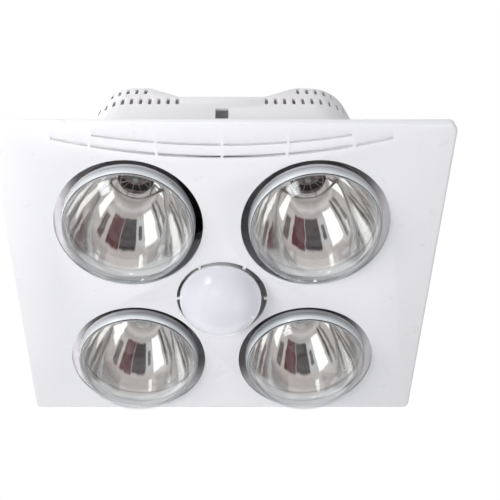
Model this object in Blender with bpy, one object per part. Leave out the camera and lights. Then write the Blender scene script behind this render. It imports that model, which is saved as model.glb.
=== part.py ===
"""Ceiling unit of a bathroom: four reflector heat lamps, a light and an exhaust fan over one fascia.

Metres, +Z up. The ceiling plane is z = 0, the fascia hangs below it and the housing stands above it.
The origin lies at the middle of the four lamps. -Y is the side with the air slots, +Y the duct side.
"""

import math

import bmesh
import bpy
from mathutils import Matrix, Vector

# Gap between seated pieces, overlap of joined solids and reach of a cut past its surface
GAP = 0.0003
OVERLAP = 0.0006
PAST = 0.004
SHARP_ANGLE = math.radians(35)

# Lamps and light. The lamps' spacing drives the size of the fascia, housing and chassis
LAMP_SPACING_X = 0.174
LAMP_SPACING_Y = 0.168
LAMP_HALF_X = LAMP_SPACING_X / 2
LAMP_HALF_Y = LAMP_SPACING_Y / 2
LAMP_HOLE_RADIUS = 0.0695
LAMP_RADIUS = LAMP_HOLE_RADIUS - 0.0069
LAMP_WIDEST = 0.004
LAMP_DOME = 0.047
LAMP_GLASS = 0.0012
LAMP_BOWL_SHARE = 0.79
LAMP_BOWL_POWER = 1.12
NECK_RADIUS = 0.0195
NECK_SHOULDER = 0.0055
LIGHT_Y = 0.003
LIGHT_HOLE_RADIUS = 0.0447
LIGHT_RADIUS = 0.0402
LIGHT_WAIST_RADIUS = 0.0382
LIGHT_OFF_CENTRE = (-0.0013, -0.0027)
LIGHT_WIDEST = 0.004
LIGHT_DOME = 0.031
LIGHT_SHELL = 0.0016
LIGHT_COLLAR = 0.007
LIGHT_COLLAR_EDGE = 0.002
LIGHT_BODY = 0.054
LIGHT_SHOULDER_RADIUS = 0.029
LIGHT_SHOULDER = 0.018
LIGHT_NECK_RADIUS = 0.0160
LIGHT_NECK_TAPER = 0.004
RING_TABS = 6
TAB_LENGTH = 0.0030
TAB_WIDTH = 0.0026
CAP_RADIUS = 0.0131
CAP_LENGTH = 0.027
CAP_SHEET = 0.0008
CAP_SHOULDER = 0.009
CAP_HEAD = 0.004
CAP_HEAD_RADIUS = 0.0070
CAP_CONTACT = 0.002
CAP_CONTACT_RADIUS = 0.0045
HOLDER_RADIUS = 0.0225
HOLDER_EDGE = 0.002
HOLDER_HEAD = 0.010
HOLDER_HEAD_RADIUS = 0.0195
HOLDER_BORE = 0.0142
HOLDER_SKIRT = 0.003
HOLDER_TOP = 0.010
STEM_RADIUS = 0.0055
STEM_BELOW_NECK = 0.006
STEM_TIP = 0.008
STEM_FLARE = 0.0025
FILAMENT_RADIUS = 0.0150
FILAMENT_BELOW_STEM = 0.002
FILAMENT_WIRE = 0.0010
SUPPORT_WIRES = 4

# Fascia
FASCIA_HALF_WIDTH = LAMP_HALF_X + 0.117
FASCIA_NEAR = LAMP_HALF_Y + 0.103
FASCIA_FAR = LAMP_HALF_Y + 0.0725
FASCIA_DEPTH = 0.0125
FASCIA_WALL = 0.0025
FASCIA_CORNER = 0.006
FASCIA_EDGE = 0.0025
FASCIA_INNER_EDGE = 0.001
BAND_START = FASCIA_NEAR - 0.0375
BAND_RADIUS = 0.520
BAND_SLOPE = 0.10
SLOT_RIB = 0.0024
LOWER_SLOT_PLACE = FASCIA_NEAR - 0.0306
LOWER_SLOT_RADIUS = 0.600
LOWER_SLOT_WIDTH = 0.0030
LOWER_SLOT_STOPS = (0.0, 0.0575, 0.116, 0.149)
UPPER_SLOT_PLACE = FASCIA_NEAR - 0.0192
UPPER_SLOT_RADIUS = 0.670
UPPER_SLOT_WIDTH = 0.0024
UPPER_SLOT_STOPS = (0.0, 0.058, 0.1135)
PIN_RADIUS = 0.0024
PIN_BOSS_RADIUS = 0.0050
PIN_X = FASCIA_HALF_WIDTH - 0.026
PIN_Y = (0.037 - FASCIA_NEAR, FASCIA_FAR - 0.0315)
PIN_LENGTH = 0.0066

# Housing
HOUSING_WALL = 0.0025
RIM_HALF_WIDTH = FASCIA_HALF_WIDTH - 0.044
SHOULDER_HALF_WIDTH = RIM_HALF_WIDTH - 0.0225
DECK_HALF_WIDTH = SHOULDER_HALF_WIDTH - 0.0035
HOUSING_FRONT = LAMP_HALF_Y + LAMP_HOLE_RADIUS + 0.001
HOUSING_REAR = LAMP_HALF_Y + LAMP_HOLE_RADIUS
WALL_DRAFT = 0.001
RIM_CORNER = 0.022
SHOULDER_CORNER = 0.045
DECK_HEIGHT = 0.142
DECK_ROUNDING = 0.006
SHOULDER_HEIGHT = DECK_HEIGHT - 0.038
FLARE_LOW = 0.020
FLARE_HIGH = 0.066
FLANGE_HALF_WIDTH = FASCIA_HALF_WIDTH - 0.016
FLANGE_FRONT = FASCIA_NEAR - 0.007
FLANGE_REAR = FASCIA_FAR - 0.0105
FLANGE_CORNER = 0.006
FIXING_HOLE_RADIUS = 0.0026
FIXING_X = FLANGE_HALF_WIDTH - 0.014
FIXING_Y = 0.070
VALLEY_HEIGHT = DECK_HEIGHT - 0.024
VALLEY_FLOOR_HALF_WIDTH = 0.042
VALLEY_TOP_HALF_WIDTH = 0.078
VALLEY_EDGE = HOUSING_FRONT - 0.052
VALLEY_ROUNDING = 0.008
VALLEY_LIP = 0.003
VENT_WIDTH = 0.0033
VENT_PITCH = 0.0091
LOWER_VENTS = 12
LOWER_VENT_START = 0.0445
LOWER_VENT_HEIGHT = 0.013
LOWER_VENT_MIDDLE = DECK_HEIGHT - 0.0362
UPPER_VENTS = 5
UPPER_VENT_START = 0.0775
UPPER_VENT_HEIGHT = 0.011
UPPER_VENT_MIDDLE = DECK_HEIGHT - 0.0130
WINDOW_WIDTH = 0.0126
WINDOW_HIGH = DECK_HEIGHT - 0.0525
WINDOW_LOW = WINDOW_HIGH - 0.0217
SOCKET_LENGTH = 0.0055

# Steel chassis over the lampholders
CHASSIS_SHEET = 0.0015
CHASSIS_BELOW_DECK = 0.0074
CHASSIS_HALF_WIDTH = LAMP_HALF_X + 0.033
CHASSIS_HALF_LENGTH = LAMP_HALF_Y + 0.010
CHASSIS_ARM_LENGTH = LAMP_HALF_Y + 0.028
CHASSIS_ARM_INNER = LAMP_HALF_X - 0.010
CHASSIS_CORNER = 0.006
CHASSIS_FOLD = 0.010
POST_RADIUS = 0.005
POST_X = CHASSIS_HALF_WIDTH - 0.012
POST_Y = 0.030
STRAP_WIDTH = 0.016
STRAP_SHEET = 0.0012
STRAP_FLOOR_HALF = 0.022
STRAP_FOOT_INNER = 0.054
STRAP_FOOT_OUTER = 0.072

# Fan
FAN_X = -0.053
FAN_Y = -0.008
IMPELLER_RADIUS = 0.065
BLADE_INNER = 0.053
BLADE_HEIGHT = 0.041
BLADE_THICKNESS = 0.0011
BLADE_TIP_SETBACK = 0.0010
BLADES = 28
BLADE_SWEEP = math.radians(13)
SHROUD = 0.0015
SHROUD_LIP = 0.001
HUB_CUP_RADIUS = 0.0435
HUB_CUP_DEPTH = 0.018
HUB_BOSS_RADIUS = 0.008
HUB_BOSS_LENGTH = 0.012
IMPELLER_CLEARANCE = 0.0032
SCROLL_WALL = 0.0025
SCROLL_HEIGHT = 0.052
SCROLL_START_RADIUS = 0.069
SCROLL_END_RADIUS = 0.092
SCROLL_TONGUE = math.radians(70)
OUTLET_WIDTH = 0.078
OUTLET_Y = 0.100
INLET_RADIUS = 0.046
INLET_LIP = 0.0035
COVER_SHEET = 0.0025
COVER_RIBS = 8
COVER_RIB_HEIGHT = 0.003
COVER_RIB_WIDTH = 0.002
COVER_RIB_MARGIN = 0.002

# Motor
MOTOR_RADIUS = 0.038
MOTOR_WALL = 0.0018
MOTOR_LOWER_EDGE = 0.004
MOTOR_UPPER_EDGE = 0.006
MOTOR_BEND = 0.001
MOTOR_BELOW_COVER = 0.024
MOTOR_ABOVE_COVER = 0.023
MOTOR_FLANGE_RADIUS = 0.046
MOTOR_FLANGE = 0.002
MOTOR_HOLE_CLEARANCE = 0.0006
SHAFT_RADIUS = 0.004
BEARING_RADIUS = 0.009
BEARING_WIDTH = 0.006
STATOR_HEIGHT = 0.020
STATOR_BORE = 0.0205
STATOR_SLOTS = 8
SLOT_SETBACK = 0.002
SLOT_DEPTH = 0.007
SLOT_OPENING = 0.007
WINDING_HEIGHT = 0.006
WINDING_PAST_SLOTS = 0.003
AIR_GAP = 0.0006

# Duct spigot and its flap
SPIGOT_RADIUS = 0.0485
SPIGOT_WALL = 0.0020
SPIGOT_FLANGE = 0.0025
SPIGOT_FLANGE_REACH = 0.006
COLLAR_LENGTH = 0.011
TRANSITION_LENGTH = 0.032
SPIGOT_LENGTH = 0.044
SPIGOT_BEAD = 0.0015
SPIGOT_BEAD_HALF = 0.002
SPIGOT_BEAD_PLACE = 0.6
FLAP_SHEET = 0.0015
FLAP_SIDE_CLEARANCE = 0.0015
FLAP_FOOT_CLEARANCE = 0.0014
FLAP_PIN_RADIUS = 0.0015
FLAP_PIN_DROP = 0.0041
FLAP_KNUCKLE_RADIUS = 0.0033
FLAP_STOP_HEIGHT = 0.004
FLAP_STOP_THICKNESS = 0.0015

# Wiring
TERMINAL_WIDTH = 0.050
TERMINAL_DEPTH = 0.018
TERMINAL_HEIGHT = 0.013
TERMINAL_WAYS = 6
TERMINAL_GROOVE = 0.0012
TERMINAL_Y = 0.031 - HOUSING_FRONT
COVER_BOX_HALF_WIDTH = 0.037
COVER_BOX_HALF_LENGTH = 0.018
COVER_BOX_HEIGHT = 0.022
COVER_BOX_WALL = 0.002
COVER_BOX_CORNER = 0.005
GLAND_X = 0.018
GLAND_BORE = 0.0040
GLAND_THREAD = 0.0065
GLAND_NUT = 0.0095
GLAND_NUT_HEIGHT = 0.0072
GLAND_HEIGHT = 0.012
GLAND_RIM = 0.0065
GLAND_BELOW = 0.002
CAPACITOR_X = 0.088
CAPACITOR_Y = -0.020
CAPACITOR_WIDTH = 0.022
CAPACITOR_LENGTH = 0.038
CAPACITOR_HEIGHT = 0.030
CAPACITOR_CORNER = 0.003

# Number of straight steps in a full turn, or in a corner
HOLE_STEPS = 36
LAMP_STEPS = 20
SMALL_STEPS = 12
PIN_STEPS = 8
CORNER_STEPS = 4
SMALL_CORNER_STEPS = 2
EDGE_STEPS = 2
BAND_STEPS = 16
SLOT_STEPS = 3
SCROLL_STEPS = 20
BLADE_STEPS = 2
DOME_STEPS = 5
BOWL_STEPS = 4
DUCT_SIDE_STEPS = 4
DUCT_TOP_STEPS = 8

# Places that follow from the sizes above
FACE_Z = -FASCIA_DEPTH
LAMP_CENTRES = {
    "front_left": (-LAMP_HALF_X, -LAMP_HALF_Y),
    "front_right": (LAMP_HALF_X, -LAMP_HALF_Y),
    "rear_left": (-LAMP_HALF_X, LAMP_HALF_Y),
    "rear_right": (LAMP_HALF_X, LAMP_HALF_Y),
}
DECK_UNDERSIDE = DECK_HEIGHT - HOUSING_WALL
CHASSIS_Z = DECK_HEIGHT - CHASSIS_BELOW_DECK - CHASSIS_SHEET
LAMP_WIDEST_Z = FACE_Z + LAMP_WIDEST
NECK_END_Z = CHASSIS_Z - HOLDER_TOP - CAP_LENGTH - 3 * GAP
LAMP_BOWL = LAMP_BOWL_SHARE * (NECK_END_Z - LAMP_WIDEST_Z)
NECK_START_Z = LAMP_WIDEST_Z + LAMP_BOWL
LIGHT_WIDEST_Z = FACE_Z - LIGHT_WIDEST
SCROLL_Z = DECK_HEIGHT + GAP
SCROLL_FLOOR_Z = SCROLL_Z + SCROLL_WALL
SCROLL_TOP_Z = SCROLL_FLOOR_Z + SCROLL_HEIGHT
COVER_Z = SCROLL_TOP_Z + GAP
COVER_TOP_Z = COVER_Z + COVER_SHEET
OUTLET_MIDDLE_Z = SCROLL_FLOOR_Z + SCROLL_HEIGHT / 2
SPIGOT_Y = OUTLET_Y + GAP
COLLAR_Y = SPIGOT_Y + SPIGOT_FLANGE
FLAP_PIN_Y = COLLAR_Y + COLLAR_LENGTH / 2 + FLAP_SHEET
FLAP_PIN_Z = SCROLL_TOP_Z - FLAP_PIN_DROP
OUTLET_MIDDLE_X = FAN_X + SCROLL_END_RADIUS - OUTLET_WIDTH / 2


def clear_scene():
    for obj in list(bpy.data.objects):
        bpy.data.objects.remove(obj, do_unlink=True)


def finish(name, colour, roughness, metallic=0.0, see_through=1.0):
    made = bpy.data.materials.new(name)
    made.use_nodes = True
    shader = made.node_tree.nodes["Principled BSDF"]
    shader.inputs["Base Color"].default_value = (*colour, 1.0)
    shader.inputs["Roughness"].default_value = roughness
    shader.inputs["Metallic"].default_value = metallic
    shader.inputs["Alpha"].default_value = see_through
    made.diffuse_color = (*colour, see_through)
    return made


# Outlines in a plane


def rounded_rectangle(west, east, south, north, radius, steps=CORNER_STEPS):
    """Points round a rectangle with round corners, counterclockwise, always 4 * (steps + 1)."""
    centres = (
        (east - radius, south + radius, -90),
        (east - radius, north - radius, 0),
        (west + radius, north - radius, 90),
        (west + radius, south + radius, 180),
    )
    points = []
    for x, y, start in centres:
        for i in range(steps + 1):
            angle = math.radians(start + 90 * i / steps)
            points.append((x + radius * math.cos(angle), y + radius * math.sin(angle)))
    return points


def rounded(corners, radius, steps=SMALL_CORNER_STEPS):
    """A closed outline through the corners, each replaced by an arc of this radius."""
    points = []
    for i, corner in enumerate(corners):
        here = Vector(corner)
        back = (Vector(corners[i - 1]) - here).normalized()
        ahead = (Vector(corners[(i + 1) % len(corners)]) - here).normalized()
        half = back.angle(ahead) / 2
        reach = radius / math.tan(half)
        middle = here + (back + ahead).normalized() * radius / math.sin(half)
        start = here + back * reach - middle
        turn = (here + ahead * reach - middle).angle_signed(start)
        for k in range(steps + 1):
            points.append(tuple(middle + Matrix.Rotation(turn * k / steps, 2) @ start))
    return points


def circle(radius, steps, centre=(0.0, 0.0)):
    turns = [2 * math.pi * i / steps for i in range(steps)]
    return [(centre[0] + radius * math.cos(a), centre[1] + radius * math.sin(a)) for a in turns]


def ring_profile(inner, outer, low, high):
    return [(inner, low), (outer, low), (outer, high), (inner, high)]


def at_height(outline, z):
    return [(x, y, z) for x, y in outline]


# Solids


def mesh_of(bm, name):
    bmesh.ops.remove_doubles(bm, verts=bm.verts, dist=1e-6)
    bmesh.ops.recalc_face_normals(bm, faces=bm.faces)
    mesh = bpy.data.meshes.new(name)
    bm.to_mesh(mesh)
    bm.free()
    mesh.shade_smooth()
    mesh.set_sharp_from_angle(angle=SHARP_ANGLE)
    return mesh


def add_loft(bm, rings, ring_closes=False):
    """Joins rings of equally many points. The two end rings get caps, or join each other."""
    made = [[bm.verts.new(point) for point in ring] for ring in rings]
    pairs = list(zip(made, made[1:]))
    if ring_closes:
        pairs.append((made[-1], made[0]))
    for low, high in pairs:
        for i in range(len(low)):
            j = (i + 1) % len(low)
            bm.faces.new((low[i], low[j], high[j], high[i]))
    if not ring_closes:
        bm.faces.new(reversed(made[0]))
        bm.faces.new(made[-1])


def loft(rings, name, ring_closes=False):
    bm = bmesh.new()
    add_loft(bm, rings, ring_closes)
    return mesh_of(bm, name)


def prisms(outlines, low, high, name):
    """Upright prisms over these outlines, in one mesh."""
    bm = bmesh.new()
    for outline in outlines:
        add_loft(bm, [at_height(outline, low), at_height(outline, high)])
    return mesh_of(bm, name)


def turned(profile, steps, name, centres=((0.0, 0.0),)):
    """Closed profiles of (radius, height), spun round upright axes at these centres."""
    bm = bmesh.new()
    for x, y in centres:
        verts = [bm.verts.new((x + r, y, z)) for r, z in profile]
        pairs = zip(verts, verts[1:] + verts[:1])
        edges = [bm.edges.new(pair) for pair in pairs if any(v.co.x - x > 1e-7 for v in pair)]
        bmesh.ops.spin(
            bm, geom=verts + edges, cent=(x, y, 0), axis=(0, 0, 1), angle=2 * math.pi, steps=steps
        )
    return mesh_of(bm, name)


def boxes(ranges, name):
    """Boxes in one mesh, each given as (x from, x to, y from, y to, z from, z to)."""
    bm = bmesh.new()
    for x0, x1, y0, y1, z0, z1 in ranges:
        outline = [(x0, y0), (x1, y0), (x1, y1), (x0, y1)]
        add_loft(bm, [at_height(outline, z0), at_height(outline, z1)])
    return mesh_of(bm, name)


def sideways(outlines, low, high, name, along="X"):
    """Prisms that run along X over outlines of (y, z), or along Y over outlines of (x, z)."""
    bm = bmesh.new()
    for outline in outlines:
        if along == "X":
            rings = [[(at, y, z) for y, z in outline] for at in (low, high)]
        else:
            rings = [[(x, at, z) for x, z in outline] for at in (low, high)]
        add_loft(bm, rings)
    return mesh_of(bm, name)


# Objects


def piece(name, mesh, material, parent=None, location=(0.0, 0.0, 0.0)):
    obj = bpy.data.objects.new(name, mesh)
    bpy.context.scene.collection.objects.link(obj)
    if not mesh.materials:
        mesh.materials.append(material)
    obj.parent = parent
    obj.location = location
    return obj


def guide(name, mesh):
    obj = bpy.data.objects.new(name, mesh)
    bpy.context.scene.collection.objects.link(obj)
    obj.hide_render = True
    obj.display_type = "WIRE"
    return obj


def axis_empty(name, location):
    obj = bpy.data.objects.new(name, None)
    bpy.context.scene.collection.objects.link(obj)
    obj.location = location
    return obj


def combine(obj, other, operation):
    modifier = obj.modifiers.new(f"{operation.lower()}_{other.name}", "BOOLEAN")
    modifier.operation = operation
    modifier.object = other
    modifier.solver = "EXACT"


def cut(obj, *cutters):
    for cutter in cutters:
        combine(obj, cutter, "DIFFERENCE")


def join(obj, *others):
    for other in others:
        combine(obj, other, "UNION")


# Fascia


def arc_y(x, place, radius):
    """Y of a curve that bows towards the middle of the fascia, at this X."""
    return -place - (radius - math.sqrt(radius**2 - x**2))


def fascia_block(inset, top, face, rounding, name):
    """The fascia's box with its rounded front edge, drawn in by the inset."""
    rings = [(inset, top)]
    for i in range(EDGE_STEPS + 1):
        turn = math.pi / 2 * i / EDGE_STEPS
        inner = inset + rounding * (1 - math.cos(turn))
        rings.append((inner, face + rounding * (1 - math.sin(turn))))
    return loft(
        [
            at_height(
                rounded_rectangle(
                    -FASCIA_HALF_WIDTH + inner,
                    FASCIA_HALF_WIDTH - inner,
                    -FASCIA_NEAR + inner,
                    FASCIA_FAR - inner,
                    FASCIA_CORNER - inner,
                ),
                z,
            )
            for inner, z in rings
        ],
        name,
    )


def band_cutter(lift, name):
    """What the sloping band along the near edge takes off, raised by the lift."""
    near = -FASCIA_NEAR - 4 * PAST
    low = FACE_Z - 3 * PAST
    rings = []
    for i in range(BAND_STEPS + 1):
        x = (FASCIA_HALF_WIDTH + PAST / 2) * (2 * i / BAND_STEPS - 1)
        start = arc_y(x, BAND_START, BAND_RADIUS)
        ring = []
        for y in (start + 3 * PAST, near):
            slope = FACE_Z + lift + BAND_SLOPE * (start - y)
            ring += [(x, y, low), (x, y, slope)] if y != near else [(x, y, slope), (x, y, low)]
        rings.append(ring)
    return guide(name, loft(rings, name))


def slot_outlines(place, radius, width, stops):
    """The stretches of one curved slot between its ribs, on both sides of the middle."""
    outlines = []
    for inner, outer in zip(stops, stops[1:]):
        start = inner + SLOT_RIB / 2
        end = outer - (SLOT_RIB / 2 if outer != stops[-1] else 0.0)
        along = [start + (end - start) * i / SLOT_STEPS for i in range(SLOT_STEPS + 1)]
        for side in (-1, 1):
            far = [(side * x, arc_y(x, place, radius) + width / 2) for x in along]
            near = [(side * x, arc_y(x, place, radius) - width / 2) for x in reversed(along)]
            outlines.append((far + near)[::side])
    return outlines


def light_ring_outline():
    """The round hole for the light, with small tabs that point inwards."""
    points = []
    half = TAB_WIDTH / 2 / LIGHT_HOLE_RADIUS
    between = 2 * math.pi / RING_TABS
    steps = HOLE_STEPS // RING_TABS
    for tab in range(RING_TABS):
        middle = tab * between
        for angle in (middle - half, middle + half):
            points.append((LIGHT_HOLE_RADIUS - TAB_LENGTH, angle))
        for i in range(steps + 1):
            angle = middle + half + (between - 2 * half) * i / steps
            points.append((LIGHT_HOLE_RADIUS, angle))
    return [(r * math.cos(a), LIGHT_Y + r * math.sin(a)) for r, a in points]


def make_fascia(white):
    obj = piece("fascia", fascia_block(0.0, 0.0, FACE_Z, FASCIA_EDGE, "fascia"), white)
    face = FACE_Z + FASCIA_WALL
    block = fascia_block(FASCIA_WALL, PAST, face, FASCIA_INNER_EDGE, "fascia_core")
    core = guide("fascia_core", block)
    cut(core, band_cutter(FASCIA_WALL, "band_core"))
    low, high = FACE_Z - PAST, face + PAST
    holes = [circle(LAMP_HOLE_RADIUS, HOLE_STEPS, at) for at in LAMP_CENTRES.values()]
    slots = slot_outlines(
        LOWER_SLOT_PLACE, LOWER_SLOT_RADIUS, LOWER_SLOT_WIDTH, LOWER_SLOT_STOPS
    ) + slot_outlines(UPPER_SLOT_PLACE, UPPER_SLOT_RADIUS, UPPER_SLOT_WIDTH, UPPER_SLOT_STOPS)
    cut(
        obj,
        band_cutter(0.0, "band"),
        core,
        guide("lamp_holes", prisms(holes, low, high, "lamp_holes")),
        guide("light_hole", prisms([light_ring_outline()], low, high, "light_hole")),
        guide("air_slots", prisms(slots, low, high, "air_slots")),
    )
    seat = -HOUSING_WALL - SOCKET_LENGTH - GAP
    foot = face - OVERLAP
    pin = [
        (0.0, foot),
        (PIN_BOSS_RADIUS, foot),
        (PIN_BOSS_RADIUS, seat),
        (PIN_RADIUS, seat),
        (PIN_RADIUS, seat + PIN_LENGTH - PIN_RADIUS / 2),
        (PIN_RADIUS / 2, seat + PIN_LENGTH),
        (0.0, seat + PIN_LENGTH),
    ]
    join(obj, guide("fascia_pins", turned(pin, PIN_STEPS, "fascia_pins", pin_places())))


def pin_places():
    return [(side * PIN_X, y) for side in (-1, 1) for y in PIN_Y]


# Housing


def housing_rings(inset, bottom, rounding):
    """Level outlines of the housing from its rim to its deck, drawn in by the inset."""
    top = DECK_HEIGHT - inset
    levels = [
        (bottom, RIM_HALF_WIDTH, 0.0, RIM_CORNER),
        (FLARE_LOW, RIM_HALF_WIDTH, 0.0, RIM_CORNER),
        (FLARE_HIGH, SHOULDER_HALF_WIDTH + WALL_DRAFT, WALL_DRAFT / 2, SHOULDER_CORNER),
        (SHOULDER_HEIGHT, SHOULDER_HALF_WIDTH, WALL_DRAFT / 2, SHOULDER_CORNER),
    ]
    for i in range(EDGE_STEPS + 1):
        turn = math.pi / 2 * i / EDGE_STEPS
        inner = rounding * (1 - math.cos(turn))
        z = top - rounding * (1 - math.sin(turn))
        levels.append((z, DECK_HALF_WIDTH - inner, WALL_DRAFT + inner, SHOULDER_CORNER - inner))
    return [
        at_height(
            rounded_rectangle(
                -half + inset,
                half - inset,
                -HOUSING_FRONT + draft + inset,
                HOUSING_REAR - draft - inset,
                corner - inset,
            ),
            z,
        )
        for z, half, draft, corner in levels
    ]


def valley_cutters(grow, name):
    """The troughs at the front and the rear of the deck. The front wall's edge dips with them."""
    angle = math.atan2(
        DECK_HEIGHT - VALLEY_HEIGHT, VALLEY_TOP_HALF_WIDTH - VALLEY_FLOOR_HALF_WIDTH
    )
    top = DECK_HEIGHT + 2 * PAST
    bm = bmesh.new()
    for side, wall in ((-1, HOUSING_FRONT), (1, HOUSING_REAR)):
        sections = (
            (VALLEY_EDGE - grow, 0.0),
            (wall - 2 * VALLEY_LIP, 0.0),
            (wall + VALLEY_LIP, VALLEY_LIP),
        )
        rings = []
        for y, lip in sections:
            drop = grow + (lip if grow == 0.0 else 0.0)
            floor = VALLEY_HEIGHT - drop
            low = VALLEY_FLOOR_HALF_WIDTH + drop * math.tan(angle / 2)
            high = low + (top - floor) / math.tan(angle)
            corners = [(-high, top), (-low, floor), (low, floor), (high, top)]
            soft = rounded(corners, VALLEY_ROUNDING)
            rings.append([(x, side * y, z) for x, z in soft])
        add_loft(bm, rings)
    return guide(name, mesh_of(bm, name))


def vent_outline(along, rear):
    """Plan of one upright vent cut: its middle this far along the wall from the unit's middle."""
    wall = HOUSING_REAR if rear else HOUSING_FRONT
    straight = SHOULDER_HALF_WIDTH - SHOULDER_CORNER
    half, deep = VENT_WIDTH / 2, 3 * HOUSING_WALL
    turn = max(0.0, (abs(along) - straight) / SHOULDER_CORNER)
    x = min(abs(along), straight)
    corners = ((-half, -deep), (half, -deep), (half, deep), (-half, deep))
    points = []
    for across, out in corners:
        r = SHOULDER_CORNER + out
        px = x + r * math.sin(turn) + across * math.cos(turn)
        py = wall - SHOULDER_CORNER + r * math.cos(turn) - across * math.sin(turn)
        points.append((math.copysign(px, along), py if rear else -py))
    return points


def vent_cutter():
    rows = (
        (LOWER_VENTS, LOWER_VENT_START, LOWER_VENT_HEIGHT, LOWER_VENT_MIDDLE),
        (UPPER_VENTS, UPPER_VENT_START, UPPER_VENT_HEIGHT, UPPER_VENT_MIDDLE),
    )
    bm = bmesh.new()
    for count, start, height, middle in rows:
        for i in range(count):
            for side in (-1, 1):
                for rear in (False, True):
                    outline = vent_outline(side * (start + i * VENT_PITCH), rear)
                    low, high = middle - height / 2, middle + height / 2
                    add_loft(bm, [at_height(outline, low), at_height(outline, high)])
    return guide("vents", mesh_of(bm, "vents"))


def make_housing(white):
    obj = piece("housing", loft(housing_rings(0.0, -HOUSING_WALL, DECK_ROUNDING), "housing"), white)
    flange = rounded_rectangle(
        -FLANGE_HALF_WIDTH, FLANGE_HALF_WIDTH, -FLANGE_FRONT, FLANGE_REAR, FLANGE_CORNER
    )
    valleys = valley_cutters(0.0, "valleys")
    inside = housing_rings(HOUSING_WALL, -HOUSING_WALL - PAST, DECK_ROUNDING - HOUSING_WALL)
    core = guide("housing_core", loft(inside, "housing_core"))
    cut(core, valley_cutters(HOUSING_WALL, "valleys_core"))
    join(obj, guide("flange", prisms([flange], -HOUSING_WALL, 0.0, "flange")))
    cut(obj, valleys, core)
    posts = [(x * POST_X, y * POST_Y) for x in (-1, 1) for y in (-1, 1)]
    post = ring_profile(0.0, POST_RADIUS, CHASSIS_Z + CHASSIS_SHEET + GAP, DECK_UNDERSIDE + OVERLAP)
    socket_low = -HOUSING_WALL - SOCKET_LENGTH
    socket = ring_profile(0.0, PIN_BOSS_RADIUS, socket_low, -OVERLAP)
    join(
        obj,
        guide("deck_posts", turned(post, PIN_STEPS, "deck_posts", posts)),
        guide("pin_sockets", turned(socket, PIN_STEPS, "pin_sockets", pin_places())),
    )
    bores = [circle(PIN_RADIUS + GAP, PIN_STEPS, at) for at in pin_places()]
    fixings = [(x * FIXING_X, y * FIXING_Y) for x in (-1, 1) for y in (-1, 1)]
    bores += [circle(FIXING_HOLE_RADIUS, PIN_STEPS, at) for at in fixings]
    inlet = circle(INLET_RADIUS + SCROLL_WALL + GAP, HOLE_STEPS, (FAN_X, FAN_Y))
    half = WINDOW_WIDTH / 2
    window = (-half, half, -HOUSING_FRONT - PAST, -HOUSING_FRONT + 2 * PAST, WINDOW_LOW, WINDOW_HIGH)
    low, high = DECK_UNDERSIDE - PAST, DECK_HEIGHT + PAST
    cut(
        obj,
        guide("flange_holes", prisms(bores, socket_low - PAST, PAST, "flange_holes")),
        guide("deck_inlet", prisms([inlet], low, high, "deck_inlet")),
        guide("window", boxes([window], "window")),
        vent_cutter(),
    )


def make_chassis(steel):
    """Steel sheet that carries the lampholders, with two edges folded down and arms to the lamps."""
    wide = CHASSIS_HALF_WIDTH
    long = CHASSIS_HALF_LENGTH
    arm = CHASSIS_ARM_LENGTH
    inner = CHASSIS_ARM_INNER
    right = [(inner, -long), (inner, -arm), (wide, -arm), (wide, arm), (inner, arm), (inner, long)]
    corners = right + [(-x, y) for x, y in reversed(right)]
    outline = rounded(corners, CHASSIS_CORNER)
    sheet = prisms([outline], CHASSIS_Z, CHASSIS_Z + CHASSIS_SHEET, "lamp_chassis")
    obj = piece("lamp_chassis", sheet, steel)
    reach = arm - CHASSIS_CORNER
    along = (-reach, reach, CHASSIS_Z - CHASSIS_FOLD, CHASSIS_Z + OVERLAP)
    folds = [(wide - CHASSIS_SHEET, wide, *along), (-wide, CHASSIS_SHEET - wide, *along)]
    join(obj, guide("chassis_folds", boxes(folds, "chassis_folds")))
    hole = circle(INLET_RADIUS + HOUSING_WALL, HOLE_STEPS, (FAN_X, FAN_Y))
    low, high = CHASSIS_Z - PAST, CHASSIS_Z + CHASSIS_SHEET + PAST
    cut(obj, guide("chassis_inlet", prisms([hole], low, high, "chassis_inlet")))


# Lamps


def dome_points(radius, depth, middle, steps):
    """(radius, height) from the tip of a hanging dome up to its widest ring."""
    turns = [math.pi / 2 * i / steps for i in range(steps + 1)]
    return [(radius * math.sin(a), middle - depth * math.cos(a)) for a in turns]


def bowl_points(radius, neck, start, height, steps):
    """(radius, height) of the reflector above its widest ring: nearly a paraboloid, up to its neck."""
    points = []
    for i in range(1, steps + 1):
        fall = (i / steps) ** LAMP_BOWL_POWER
        points.append((math.sqrt(radius**2 + (neck**2 - radius**2) * fall), start + height * i / steps))
    return points


def lamp_profile():
    thin = LAMP_GLASS
    collar = NECK_END_Z - HOLDER_SKIRT
    walls = []
    for inset, steps in ((0.0, DOME_STEPS), (thin, DOME_STEPS - 2)):
        radius, neck = LAMP_RADIUS - inset, NECK_RADIUS - inset
        wall = dome_points(radius, LAMP_DOME - inset, LAMP_WIDEST_Z, steps)
        wall += bowl_points(radius, neck, LAMP_WIDEST_Z, LAMP_BOWL, BOWL_STEPS)
        wall += [(neck, collar - NECK_SHOULDER)]
        wall += [(CAP_RADIUS - inset, collar), (CAP_RADIUS - inset, NECK_END_Z)]
        walls.append(wall)
    return walls[0] + walls[1][::-1]


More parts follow.
